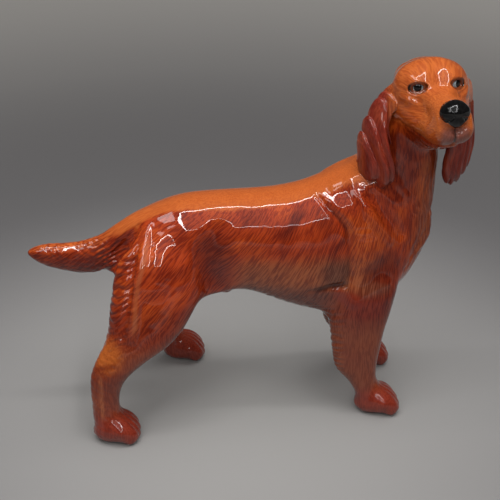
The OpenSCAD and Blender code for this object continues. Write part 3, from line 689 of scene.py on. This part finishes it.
def wash_hock(paint, p):
    """A gold painted highlight on the hock over painted shade in a red crease, and a painted highlight in a
    pale line down the shank. Returns how strong the hock's highlight is
    """
    x, y, z = p.T
    back = np.where(y > 0, x - STRIDE, x)
    # painted highlight on the hock
    hock_highlight = 0.7 * fall(np.hypot(back + 59.5, z - 39), 2.5, 9)
    lay(paint, HOCK_HIGHLIGHT, hock_highlight)
    off = z - 34.6 - 0.3 * (back + 60)
    # painted shade in the crease below the hock's highlight
    lay(paint, MAHOGANY, 0.6 * fall(np.abs(off), 0.3, 1.7) * fall(np.hypot(back + 60, z - 35), 3, 6))
    # painted highlight in a pale line down the shank
    shin_highlight = fall(np.abs(back + 62.3), 0.2, 1.3)
    lay(paint, SHIN_HIGHLIGHT, 0.32 * shin_highlight * band(z, 10, 15, 28, 33) * ramp(np.abs(y), 27, 30))
    return hock_highlight


def wash_head(paint, p, patch, edge):
    """A paler face with dark lips, and painted light from above on the top of the head. Returns where the
    head is
    """
    q = (p - SKULL) @ HEAD
    head = ramp(jaw(p) + 12 * edge, -1.5, 1.5)
    lay(paint, FACE, head)
    # painted light from above on the top of the head
    lay(paint, TOP_LIGHT_ORANGE, 0.6 * ramp(q[:, 2], 5, 12) * head)
    lay(paint, MUZZLE, 0.7 * head * ramp(q[:, 0], 14, 24))
    lay(paint, RUSSET, 0.5 * head * ramp(patch, 0, 0.7) * fall(q[:, 2], -4, 0))
    front = ramp(q[:, 0], 30.5, 34) * band(q[:, 2], -15, -13, -3.5, -0.5)
    lay(paint, LIP, 0.85 * front * fall(np.abs(q[:, 1]), 4, 6.5))
    lay(paint, BLACK, 0.7 * front * fall(np.abs(q[:, 1]), 0.2, 0.7))
    return head


def wash_eye(paint, p, side):
    """A dark rim round the eye, darkest at its outer corner"""
    spot = (p - eye_place(side, 0, 0, 0)) @ HEAD * (1, side, 1)
    across = np.degrees(np.arctan2(spot[:, 1], spot[:, 0])) - math.degrees(GAZE_OUT)
    up = np.degrees(np.arctan2(spot[:, 2], np.hypot(spot[:, 0], spot[:, 1]))) - 8 + 0.14 * across
    gap = 1 - (across / 54) ** 2
    rim = np.where(gap > 0, np.abs(up) - 37 * np.sqrt(np.maximum(gap, 0)), 30)
    corner = ramp(across, 30, 50)
    near = fall(np.linalg.norm(spot, axis=1), 4.6, 5.2)
    lay(paint, BLACK, (0.55 + 0.45 * corner) * fall(rim, -3, 2 + 6 * corner) * near)


def wash(p, out):
    """Colour of the paint on the body, with painted light, shade and floor reflection laid into it in places,
    given places and directions out of it, and strength of the hair
    """
    y, z = p[:, 1], p[:, 2]
    outer = ramp(np.abs(y), 9, 13)
    patch = noise(p / (14, 9, 9)) + 0.5 * noise(p / (6, 5, 5) + 9)
    edge = 0.10 * noise(p / (9, 7, 7) + 5) + 0.05 * noise(p / 2.5)
    paint = np.tile(CHESTNUT, (len(p), 1))
    wash_trunk(paint, p, patch, edge)
    ridge = wash_haunch(paint, p, edge)
    wash_shoulder(paint, p, outer, edge)
    elbow = wash_elbow(paint, p, outer, edge)
    lay(paint, MAHOGANY, 0.35 * fall(z, 40, 60) * fall(patch, -0.5, 0.2))
    lay(paint, PAW, 0.9 * fall(z, 9, 16))
    lit_saddle = wash_back(paint, p, out, edge)
    hock_highlight = wash_hock(paint, p)
    head = wash_head(paint, p, patch, edge)
    for side in (1, -1):
        wash_eye(paint, p, side)
    hair = (1 - 0.72 * lit_saddle - 0.5 * head) * (1 - 0.45 * fall(z, 40, 52)) * (1 - 0.7 * ridge)
    hair = hair * (1 - 0.5 * elbow) * (1 - 0.8 * hock_highlight)
    return paint, np.clip(hair, 0, 1)


def ear_wash(p, out):
    """Colour of the paint on the ears, which runs into the colour of the face at their roots"""
    patch = noise(p / (3, 3, 12)) + 0.4 * noise(p / (7, 7, 7) + 9)
    paint = np.tile(EAR, (len(p), 1))
    lay(paint, EAR_PALE, 0.7 * ramp(patch, 0, 0.9))
    lay(paint, EAR_DARK, 0.7 * fall(patch, -0.8, 0))
    q = (p - SKULL) @ HEAD
    front = ramp(q[:, 2], -9, -4) * fall(np.abs(q[:, 1]) - 1.5 * patch, 15, 18)
    limb = 0.35 * ramp((out @ HEAD)[:, 1] * np.sign(q[:, 1]), 0.86, 0.99)
    lay(paint, FACE, np.maximum(np.maximum(front, limb), ramp(q[:, 2] + 2 * patch, 3, 6)))
    return paint, np.full(len(p), 0.6)


FALL = np.array([65.0, 160.0])  # mm, the place along and up that the hair of the flanks falls from


def brushed(p):
    """Millimetres across, along and through the hair of the flanks, which spreads down and back from the
    withers"""
    x, y, z = p.T
    angle = np.arctan2(FALL[1] - z, FALL[0] - x)
    bend = 1.2 * noise(p / 16) + 0.3 * noise(p / 6)
    return np.stack([118 * angle + bend, np.hypot(FALL[0] - x, FALL[1] - z), 9 * np.tanh(y / 12)], 1)


def hanging(p):
    """The same for the hair that hangs on the neck and the legs, and that spreads back from the nose"""
    x, y, z = p.T
    bend = 1.0 * noise(p / 12) + 0.3 * noise(p / 5)
    down = np.stack([x + bend, z, y + bend], 1)
    q = (p - SKULL - HEAD @ (36, 0, 2)) @ HEAD
    back = np.linalg.norm(q, axis=1)
    snout = np.stack([17 * q[:, 1] / back + bend, back, 17 * q[:, 2] / back], 1)
    return np.where((jaw(p) > 0)[:, None], snout, down)


def brushed_part(p):
    """1 on the flanks, where the hair is brushed back, 0 where it hangs"""
    x, y, z = p.T
    return ramp(z, 42, 54) * ramp(np.hypot(FALL[0] - x, FALL[1] - z), 62, 78)


def ear_hair(p):
    """Millimetres across, along and through the hair of the ears"""
    x, y, z = p.T
    return np.stack([ear_wave(p) + 0.12 * z + 0.4 * noise(p / 5), z, y], 1)


# Finishes

def add(tree, kind, settings, inputs):
    """Adds a node with its settings and its inputs, which are values or other nodes' outputs"""
    node = tree.nodes.new("ShaderNode" + kind)
    for name, value in settings.items():
        setattr(node, name, value)
    for name, value in inputs.items():
        if isinstance(value, bpy.types.NodeSocket):
            tree.links.new(value, node.inputs[name])
        else:
            node.inputs[name].default_value = value
    return node


def new_material(name, values):
    """A material, its tree of nodes and its shader with some values set"""
    material = bpy.data.materials.new(name)
    material.use_nodes = True
    shader = material.node_tree.nodes["Principled BSDF"]
    for socket, value in values.items():
        shader.inputs[socket].default_value = value
    return material, material.node_tree, shader


def painted_glaze(name, depth):
    """Earthenware painted under a clear lead glaze. The hair is cut into the clay in lines about a
    millimetre apart, and colour gathers in them. The glaze lies over them in a thick and glassy coat that
    is only slightly wavy, so that lamps are mirrored in it with clean edges."""
    material, tree, shader = new_material(name, {
        "Roughness": 0.45, "IOR": 1.5, "Specular IOR Level": 0.1,
        "Coat Weight": 1.0, "Coat Roughness": 0.03, "Coat IOR": 1.5})
    paint, hanging_way, brushed_way, part = [
        add(tree, "Attribute", {"attribute_name": key}, {}).outputs
        for key in ("wash", "hanging", "brushed", "brushed_part")]
    # hair lines about 0.5 mm across and 6 mm along, and strokes of 4 by 20 mm
    patterns = []
    for size, detail in (((1.9, 0.17, 1.9), 1.0), ((0.25, 0.05, 0.25), 2.5)):
        by_way = []
        for way in (hanging_way, brushed_way):
            scaled = add(tree, "VectorMath", {"operation": "MULTIPLY"}, {0: way["Vector"], 1: size})
            grain = {"Vector": scaled.outputs[0], "Scale": 1.0, "Detail": detail, "Roughness": 0.5}
            by_way.append(add(tree, "TexNoise", {}, grain).outputs["Fac"])
        mixed = add(tree, "Mix", {}, {"Factor": part["Fac"], 2: by_way[0], 3: by_way[1]})
        patterns.append(mixed.outputs[0])
    line, stroke = patterns
    groove, swept = [
        add(tree, "MapRange", {"interpolation_type": "SMOOTHSTEP"},
            {"Value": value, "From Min": low, "From Max": high, "To Min": dark, "To Max": pale}).outputs[0]
        for value, low, high, dark, pale in ((line, 0.40, 0.58, -depth, 0.15),
                                             (stroke, 0.36, 0.64, -0.20 * depth, 0.12))]
    both = add(tree, "Math", {}, {0: groove, 1: swept}).outputs[0]
    shade = add(tree, "Math", {"operation": "MULTIPLY_ADD"}, {0: both, 1: paint["Alpha"], 2: 1.0})
    # where the paint is thin it turns more orange, where it gathers it turns redder
    deeper = add(tree, "CombineXYZ", {}, {})
    for i, strength in enumerate((0.8, 1.3, 1.5)):
        power = add(tree, "Math", {"operation": "POWER"}, {0: shade.outputs[0], 1: strength})
        tree.links.new(power.outputs[0], deeper.inputs[i])
    colour = add(tree, "VectorMath", {"operation": "MULTIPLY"}, {0: paint["Color"], 1: deeper.outputs[0]})
    tree.links.new(colour.outputs[0], shader.inputs["Base Color"])
    cut = add(tree, "Bump", {}, {"Height": line, "Strength": 0.5, "Distance": 0.0005})
    tree.links.new(cut.outputs[0], shader.inputs["Normal"])
    # the glaze pools in waves about 7 mm long
    place = add(tree, "TexCoord", {}, {}).outputs["Object"]
    pool = add(tree, "TexNoise", {}, {"Vector": place, "Scale": 140.0, "Detail": 1.0, "Roughness": 0.4})
    mixed = add(tree, "Math", {"operation": "MULTIPLY_ADD"}, {0: line, 1: 0.02, 2: pool.outputs["Fac"]})
    wavy = add(tree, "Bump", {}, {"Height": mixed.outputs[0], "Strength": 0.3, "Distance": 0.0008})
    tree.links.new(wavy.outputs[0], shader.inputs["Coat Normal"])
    return material


def enamel(name, colours, scale, rough):
    """Fired enamel, painted on with a fine brush: an even glassy colour with faint clouds in it"""
    material, tree, shader = new_material(name, {"Roughness": rough, "IOR": 1.52})
    place = add(tree, "TexCoord", {}, {}).outputs["Object"]
    cloud = add(tree, "TexNoise", {}, {"Vector": place, "Scale": scale, "Detail": 3.0}).outputs["Fac"]
    tint = add(tree, "ValToRGB", {}, {"Fac": cloud})
    for element, position, colour in zip(tint.color_ramp.elements, (0.35, 0.65), colours):
        element.position = position
        element.color = (*linear(colour), 1)
    tree.links.new(tint.outputs["Color"], shader.inputs["Base Color"])
    dimple = add(tree, "Bump", {}, {"Height": cloud, "Strength": 0.25, "Distance": 0.0002})
    tree.links.new(dimple.outputs[0], shader.inputs["Normal"])
    return material


FINISHES = {"chestnut_glaze": painted_glaze("chestnut underglaze, clear glaze", 0.45),
            "face_glaze": painted_glaze("orange-brown underglaze, clear glaze", 0.40),
            "ear_glaze": painted_glaze("mahogany underglaze, clear glaze", 0.42),
            "leg_glaze": painted_glaze("red-brown underglaze, clear glaze", 0.42),
            "luting_slip": painted_glaze("luting slip, clear glaze", 0.45),
            "black_enamel": enamel("black fired enamel", ("#050505", "#100F0F"), 900, 0.12),
            "iris_enamel": enamel("grey-blue fired enamel", ("#727B80", "#A3ABAF"), 1100, 0.05)}


# Cutting the castings apart at their joints

AROUND = 4  # mm round a joint in which a casting is cut
NEAR = 2.5  # mm from a cut in which faces are cut
SNAP = 0.02  # mm, points so near to a cut are moved onto it
CUT_SIDES = 9  # a face with so many sides or more is a cut, and flat
CASTING_ROOM, SEAM_ROOM = 4, 3  # mm that a field reaches past its node


class Joint:
    """A slip seam between an inner and an outer casting: a flat layer"""

    def __init__(self, seam, outer):
        points, triangles = solid(seam)
        corners = points[triangles]
        across = np.cross(corners[:, 1] - corners[:, 0], corners[:, 2] - corners[:, 0])
        size = np.linalg.norm(across, axis=1)
        main = across[size.argmax()] / size.max()
        flat = np.abs(across @ main) > 0.99 * size
        across = (across[flat] * np.sign(across[flat] @ main)[:, None]).sum(0)
        self.middle = points.mean(0)
        outward = np.sign(across @ (solid(outer)[0].mean(0) - self.middle))
        self.across = across / np.linalg.norm(across) * outward
        self.inside = (points @ self.across).min()
        self.outside = (points @ self.across).max()
        self.low, self.high = points.min(0), points.max(0)
        away = np.linalg.norm(points - self.middle, axis=1)
        self.radius, self.rim = away.max(), points[away.argmax()]

    def near(self, places, offset):
        """Which places lie round the joint, close to an offset along it"""
        inside = (places > self.low - AROUND).all(1) & (places < self.high + AROUND).all(1)
        return inside & (np.abs(places @ self.across - offset) < NEAR)


joints = {seam: Joint(seam, outer) for seam, (inner, outer) in JOINTS.items()}


def keep_island(bm, place):
    """Keeps the part of the mesh that has the point nearest to a place"""
    place = Vector(place)
    seed = min(bm.verts, key=lambda v: (v.co - place).length_squared)
    kept, edge = {seed}, [seed]
    while edge:
        vert = edge.pop()
        for e in vert.link_edges:
            other = e.other_vert(vert)
            if other not in kept:
                kept.add(other)
                edge.append(other)
    bmesh.ops.delete(bm, geom=[v for v in bm.verts if v not in kept], context="VERTS")


def cut_apart(bm, middles, cuts, place, everywhere):
    """Cuts a mesh at offsets along joints, clears the given side of each cut, keeps the part nearest to a
    place and closes it"""
    bm.faces.ensure_lookup_table()
    near = [[bm.faces[i] for i in np.flatnonzero(joint.near(middles, offset))]
            for joint, offset, side in cuts]
    for faces, (joint, offset, side) in zip(near, cuts):
        if everywhere:
            faces = list(bm.faces)
        around = {v for face in faces for v in face.verts} | {e for face in faces for e in face.edges}
        bmesh.ops.bisect_plane(bm, geom=faces + list(around), dist=SNAP, plane_co=joint.across * offset,
                               plane_no=joint.across * side, clear_outer=True)
    keep_island(bm, place)
    if cuts:
        bmesh.ops.holes_fill(bm, edges=[e for e in bm.edges if e.is_boundary], sides=0)
    bmesh.ops.recalc_face_normals(bm, faces=bm.faces)
    if bm.calc_volume(signed=True) < 0:
        bmesh.ops.reverse_faces(bm, faces=bm.faces)


def give(mesh, name, kind, key, values):
    """Gives the points of a mesh an attribute"""
    mesh.attributes.new(name, kind, "POINT").data.foreach_set(key, values.astype(np.float32).ravel())


def set_gloss(mesh, out):
    """Directions out of the surface before the cuts, for its gloss, and flat cuts"""
    smooth = read_all(mesh.polygons, "use_smooth", 1, bool)
    corner = read_all(mesh.loops, "vertex_index", 1, np.int32)
    sides = read_all(mesh.polygons, "loop_total", 1, np.int32)
    flat = np.array([p.normal for p in mesh.polygons])
    normals = np.where(np.repeat(smooth, sides)[:, None], out[corner], np.repeat(flat, sides, axis=0))
    mesh.normals_split_custom_set(normals.tolist())


def paint_mesh(mesh, out, ear):
    """The wash, the hair and the ways that it is brushed, as the glaze reads them"""
    places = read_all(mesh.vertices, "co", 3).astype(float) / MM
    colour, hair = (ear_wash if ear else wash)(places, out)
    give(mesh, "wash", "FLOAT_COLOR", "color", np.column_stack([colour, hair]))
    give(mesh, "brushed", "FLOAT_VECTOR", "vector", brushed(places))
    give(mesh, "hanging", "FLOAT_VECTOR", "vector", (ear_hair if ear else hanging)(places))
    give(mesh, "brushed_part", "FLOAT", "value", (0 if ear else 1) * brushed_part(places))


def new_object(name, data):
    """An object in the scene"""
    thing = bpy.data.objects.new(name, data)
    bpy.context.scene.collection.objects.link(thing)
    return thing


def finish_mesh(bm, mesh):
    """Writes what was built in millimetres to a mesh in metres"""
    bmesh.ops.scale(bm, vec=(MM, MM, MM), verts=bm.verts)
    bm.to_mesh(mesh)
    bm.free()


def hand_over(name, mesh, node, slot):
    """Shows a mesh in place of its node, with a finish"""
    mesh.materials.append(FINISHES[slot])
    piece = new_object(name, mesh)
    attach(piece, "root")
    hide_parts(node)


def cast(name, field, cuts, place, node, slot, relief=coat, shade=None):
    """A casting: the field's surface, cut flat at its joints, in place of its node. Its gloss follows
    the surface before the cuts, which is the same on both sides of a joint"""
    engrave(field, relief)
    points, quads, out = field.skin()
    if shade:
        engrave(shade, relief)
        out = shade.directions(points)
    mesh = bpy.data.meshes.new(name)
    mesh.from_pydata(points.tolist(), [], quads.tolist())
    give(mesh, "out", "FLOAT_VECTOR", "vector", out)
    bm = bmesh.new()
    bm.from_mesh(mesh)
    cut_apart(bm, points[quads].mean(1), cuts, place, node in JOINTS)
    for face in bm.faces:
        face.smooth = len(face.verts) < CUT_SIDES
    finish_mesh(bm, mesh)
    out = read_all(mesh.attributes["out"].data, "vector", 3)
    set_gloss(mesh, out)
    paint_mesh(mesh, out, slot == "ear_glaze")
    mesh.attributes.remove(mesh.attributes["out"])
    hand_over(name, mesh, node, slot)


def no_relief(p):
    """For pieces without hair"""
    return 0 * p[:, 0]


def node_field(name, margin, step):
    """A field round a node, with the body's distances in it and flat soles"""
    points = solid(name)[0]
    field = body.finer(points.min(0) - margin, points.max(0) + margin, step)
    field.d = np.maximum(field.d, -field.axes()[2])
    return field


torso_cuts = [(joints[seam], joints[seam].inside, 1) for seam in BODY_SEAMS]
cast("torso_casting", node_field("torso", CASTING_ROOM, TRUNK), torso_cuts, (20, 0, 92), "torso",
     "chestnut_glaze")

for seam in BODY_SEAMS[1:]:
    node, joint = JOINTS[seam][1], joints[seam]
    points = solid(node)[0]
    far = points[np.linalg.norm(points - joint.middle, axis=1).argmax()]
    cast(node + "_casting", node_field(node, CASTING_ROOM, MIDDLE), [(joint, joint.outside, -1)], far, node,
         "chestnut_glaze" if node == "tail" else "leg_glaze")

for seam in BODY_SEAMS:
    joint = joints[seam]
    cast(seam + "_slip", node_field(seam, SEAM_ROOM, MIDDLE),
         [(joint, joint.outside, 1), (joint, joint.inside, -1)], joint.rim, seam, "luting_slip")


# The head gets a stump of each ear, and each ear gets its root on the skull

ROOT = 3.0  # mm, the fillet between an ear's root and the skull
RISE = 5  # mm that distances rise away from a joint, which keeps the fillet near it
CLEAR = 30  # mm that they rise where nothing is cut off an ear
GAP = 0.05  # mm between an ear and the skull
OVERLAP = 0.1  # mm that the slip reaches into the ear and the skull


def shared(a, b):
    """The samples that two fields of one step have in common, as places in each"""
    first = np.maximum(a.first, b.first)
    last = np.minimum(a.first + a.shape, b.first + b.shape)
    return [tuple(slice(f - o, e - o) for f, e, o in zip(first, last, field.first)) for field in (a, b)]


def past(field, at, joint, offset):
    """How far samples lie past a plane across a joint, and a rise that starts away from the joint"""
    x, y, z = field.grid(at)
    beyond = x * joint.across[0] + y * joint.across[1] + z * joint.across[2] - offset
    away = np.sqrt((x - joint.middle[0]) ** 2 + (y - joint.middle[1]) ** 2 + (z - joint.middle[2]) ** 2)
    return beyond, ramp(away, joint.radius + 2, joint.radius + 6)


def same(field):
    """A copy of a field"""
    twin = copy.copy(field)
    twin.d = field.d.copy()
    return twin


skull = node_field("head", CASTING_ROOM, FINE)
for part in (model_brow, model_lips, model_eyes, model_nose):
    part(skull)
whole = same(skull)
ears = {}
for node in ("left_ear", "right_ear"):
    points = solid(node)[0]
    ear = Field(points.min(0) - 5, points.max(0) + 5, FINE)
    solids_field(ear, [node, node + "_seam"], 4)
    ear.d = ear.blur(0.7)
    joint = joints[node + "_seam"]
    on_skull, on_ear = shared(skull, ear)
    head_part, ear_part = skull.d[on_skull].copy(), ear.d[on_ear].copy()
    beyond, away = past(skull, on_skull, joint, joint.inside)
    whole.blend(on_skull, ear_part + RISE * away, ROOT)
    skull.d[on_skull] = np.minimum(head_part, np.maximum(whole.d[on_skull], beyond + RISE * away))
    ear.blend(on_ear, head_part + GAP + RISE * away, ROOT)
    before = same(ear)
    beyond, away = past(ear, on_ear, joint, joint.outside)
    ear.d[on_ear] = np.maximum(ear.d[on_ear], -beyond - CLEAR * away)
    ears[node] = ear, before

for node, (ear, before) in ears.items():
    joint = joints[node + "_seam"]
    slip = Field(joint.low - SEAM_ROOM, joint.high + SEAM_ROOM, FINE)
    slip.d = whole.d[shared(slip, whole)[1]].copy()
    slip_cuts = [(joint, joint.outside + OVERLAP, 1), (joint, joint.inside - OVERLAP, -1)]
    cast(node + "_seam_slip", slip, slip_cuts, joint.rim, node + "_seam", "luting_slip", no_relief)
    points = solid(node)[0]
    tip = points[points[:, 2].argmin()]
    cast(node + "_casting", ear, [], tip, node, "ear_glaze", ear_locks, before)
joint = joints["neck_seam"]
cast("head_casting", skull, [(joint, joint.outside, -1)], on_head(30, 0, -3), "head", "face_glaze", coat,
     whole)


# Enamel on the nose and the eyes

tip = on_head(33.8, 0, 2.8)
bulb = whole.finer(tip - 8, tip + 8, FINE * 0.7)
coated = copy.copy(bulb)
coated.d = np.full(bulb.shape, 9, np.float32)
nose(coated, NOSE_COAT, 0.3)
bulb.d = np.maximum(np.maximum(bulb.d - NOSE_COAT, coated.d), -0.8 - bulb.d)
cast("nose", bulb, [], on_head(38, 0, 3), "nose_enamel", "black_enamel", no_relief)


def dome(name, middle, gaze, radii, spread, node, slot):
    """A coat of enamel on an eyeball: a cap with an inner and an outer skin"""
    rings, sides = 14, 40
    bm = bmesh.new()
    turn = Vector(gaze).to_track_quat("Z", "Y").to_matrix()
    skins = []
    for radius in radii:
        top = bm.verts.new(Vector(middle) + turn @ Vector((0, 0, radius)))
        skin = []
        for i in range(1, rings + 1):
            a = math.radians(spread) * i / rings
            ring = []
            for b in [2 * math.pi * j / sides for j in range(sides)]:
                place = Vector((math.sin(a) * math.cos(b), math.sin(a) * math.sin(b), math.cos(a))) * radius
                ring.append(bm.verts.new(Vector(middle) + turn @ place))
            skin.append(ring)
        for j in range(sides):
            bm.faces.new((top, skin[0][j], skin[0][(j + 1) % sides]))
            for a, b in zip(skin, skin[1:]):
                bm.faces.new((a[j], b[j], b[(j + 1) % sides], a[(j + 1) % sides]))
        skins.append(skin[-1])
    for j in range(sides):
        bm.faces.new((skins[0][j], skins[1][j], skins[1][(j + 1) % sides], skins[0][(j + 1) % sides]))
    bmesh.ops.recalc_face_normals(bm, faces=bm.faces)
    for face in bm.faces:
        face.smooth = True
    mesh = bpy.data.meshes.new(name)
    finish_mesh(bm, mesh)
    hand_over(name, mesh, node, slot)


IRIS = EYE_RADIUS, EYE_RADIUS - 0.35  # mm, the outer and the inner radius of its enamel
PUPIL = EYE_RADIUS + 0.07, EYE_RADIUS - 0.1
IRIS_SPREAD, PUPIL_SPREAD = 74, 26  # degrees from the middle of each to its edge
for side, hand, outward in ((1, "left", 14), (-1, "right", 2)):
    middle = eye_place(side, 0, 0, 0)
    dome(hand + "_eye", middle, eye_place(side, 1, 0, 2) - middle, IRIS, IRIS_SPREAD,
         hand + "_eye_enamel", "iris_enamel")
    dome(hand + "_pupil_spot", middle, eye_place(side, 1, outward, 4) - middle, PUPIL, PUPIL_SPREAD,
         hand + "_pupil", "black_enamel")


# Camera, floor and lamps

AIM = Vector((0.163, -4.246, 72)) * MM
CAMERA = Vector((-32.93, -382.45, 273.87)) * MM
SENSOR = 36  # mm
FOCAL, PICTURE = 1053, 500  # px
FLOOR = 4  # m, radius
CARD = ((0.0, "#989693"), (0.12, "#7C7A79"), (0.22, "#4C4A4B"), (0.45, "#666463"), (0.75, "#A8A49F"))
ROOM_LIGHT, MIRRORED_ROOM = 0.30, 0.05  # the room is dim where the glaze mirrors it

camera_data = bpy.data.cameras.new("camera")
camera_data.sensor_width = SENSOR
camera_data.lens = SENSOR * FOCAL / PICTURE
camera_data.clip_start = 0.01
camera = new_object("camera", camera_data)
camera.location = CAMERA
camera.rotation_euler = (AIM - CAMERA).to_track_quat("-Z", "Y").to_euler()
bpy.context.scene.camera = camera

floor_mesh = bpy.data.meshes.new("floor")
bm = bmesh.new()
bmesh.ops.create_circle(bm, cap_ends=True, segments=64, radius=FLOOR)
bm.to_mesh(floor_mesh)
bm.free()
floor = new_object("floor", floor_mesh)

# pale grey studio card, matt, darker where less light reaches it behind the figure
card, tree, shader = new_material("grey studio card", {"Roughness": 0.7})
place = add(tree, "TexCoord", {}, {}).outputs["Object"]
away = add(tree, "VectorMath", {"operation": "LENGTH"}, {0: place}).outputs["Value"]
tone = add(tree, "ValToRGB", {}, {"Fac": away})
tone.color_ramp.interpolation = "B_SPLINE"
for i, (metres, grey) in enumerate(CARD):
    element = tone.color_ramp.elements[i] if i < 2 else tone.color_ramp.elements.new(metres)
    element.position = metres
    element.color = (*linear(grey), 1)
tree.links.new(tone.outputs["Color"], shader.inputs["Base Color"])
floor_mesh.materials.append(card)

world = bpy.data.worlds.new("studio")
world.use_nodes = True
tree = world.node_tree
background = tree.nodes["Background"]
background.inputs["Color"].default_value = (1, 1, 1, 1)
mirrored = add(tree, "LightPath", {}, {}).outputs["Is Glossy Ray"]
dim = add(tree, "MapRange", {}, {"Value": mirrored, "To Min": ROOM_LIGHT, "To Max": MIRRORED_ROOM})
tree.links.new(dim.outputs[0], background.inputs["Strength"])
bpy.context.scene.world = world


def lamp(name, place, aim, size, glow):
    """A flat lamp of size metres that faces its aim, with glow watts for each square metre"""
    data = bpy.data.lights.new(name, "AREA")
    data.shape = "RECTANGLE"
    data.size, data.size_y = size
    data.energy = glow * size[0] * size[1]
    light = new_object(name, data)
    light.location = place
    light.rotation_euler = (Vector(aim) - Vector(place)).to_track_quat("-Z", "Y").to_euler()
    return light


# A broad soft lamp above, small ones above the tail and in front on the left, and a dim panel edged with
# four thin tubes over the camera
lamp("overhead_soft", (0.28, 0.0, 1.1), (0.1, 0, 0), (1.2, 1.0), 7.5).visible_glossy = False
lamp("tail_soft", (-0.36, -0.05, 0.70), (-0.36, -0.05, 0), (0.12, 0.36), 5 * math.pi)
lamp("left_soft", (-0.42, -0.42, 0.52), (0, 0, 0.08), (0.18, 0.26), 4 * math.pi)
TUBE = 0.022  # m, width of a tube
HEIGHT = 0.70  # m, of the tubes and the panel
WEST, EAST, SOUTH, NORTH = -0.23, 0.17, -1.15, -0.04
TUBE_GLOW, PANEL_GLOW = 26 * math.pi, 0.4 * math.pi
wide, deep = EAST - WEST, NORTH - SOUTH
middle_x, middle_y = (WEST + EAST) / 2, (SOUTH + NORTH) / 2
for name, x, y, size, glow in (
        ("tube_west", WEST, middle_y, (TUBE, deep), TUBE_GLOW),
        ("tube_east", EAST, middle_y, (TUBE, deep), TUBE_GLOW),
        ("tube_south", middle_x, SOUTH, (wide, TUBE), TUBE_GLOW),
        ("tube_north", middle_x, NORTH, (wide, TUBE), TUBE_GLOW),
        ("panel", middle_x, middle_y, (wide, deep), PANEL_GLOW)):
    lamp(name, (x, y, HEIGHT), (x, y, 0), size, glow)

bpy.context.scene.view_settings.view_transform = "Standard"
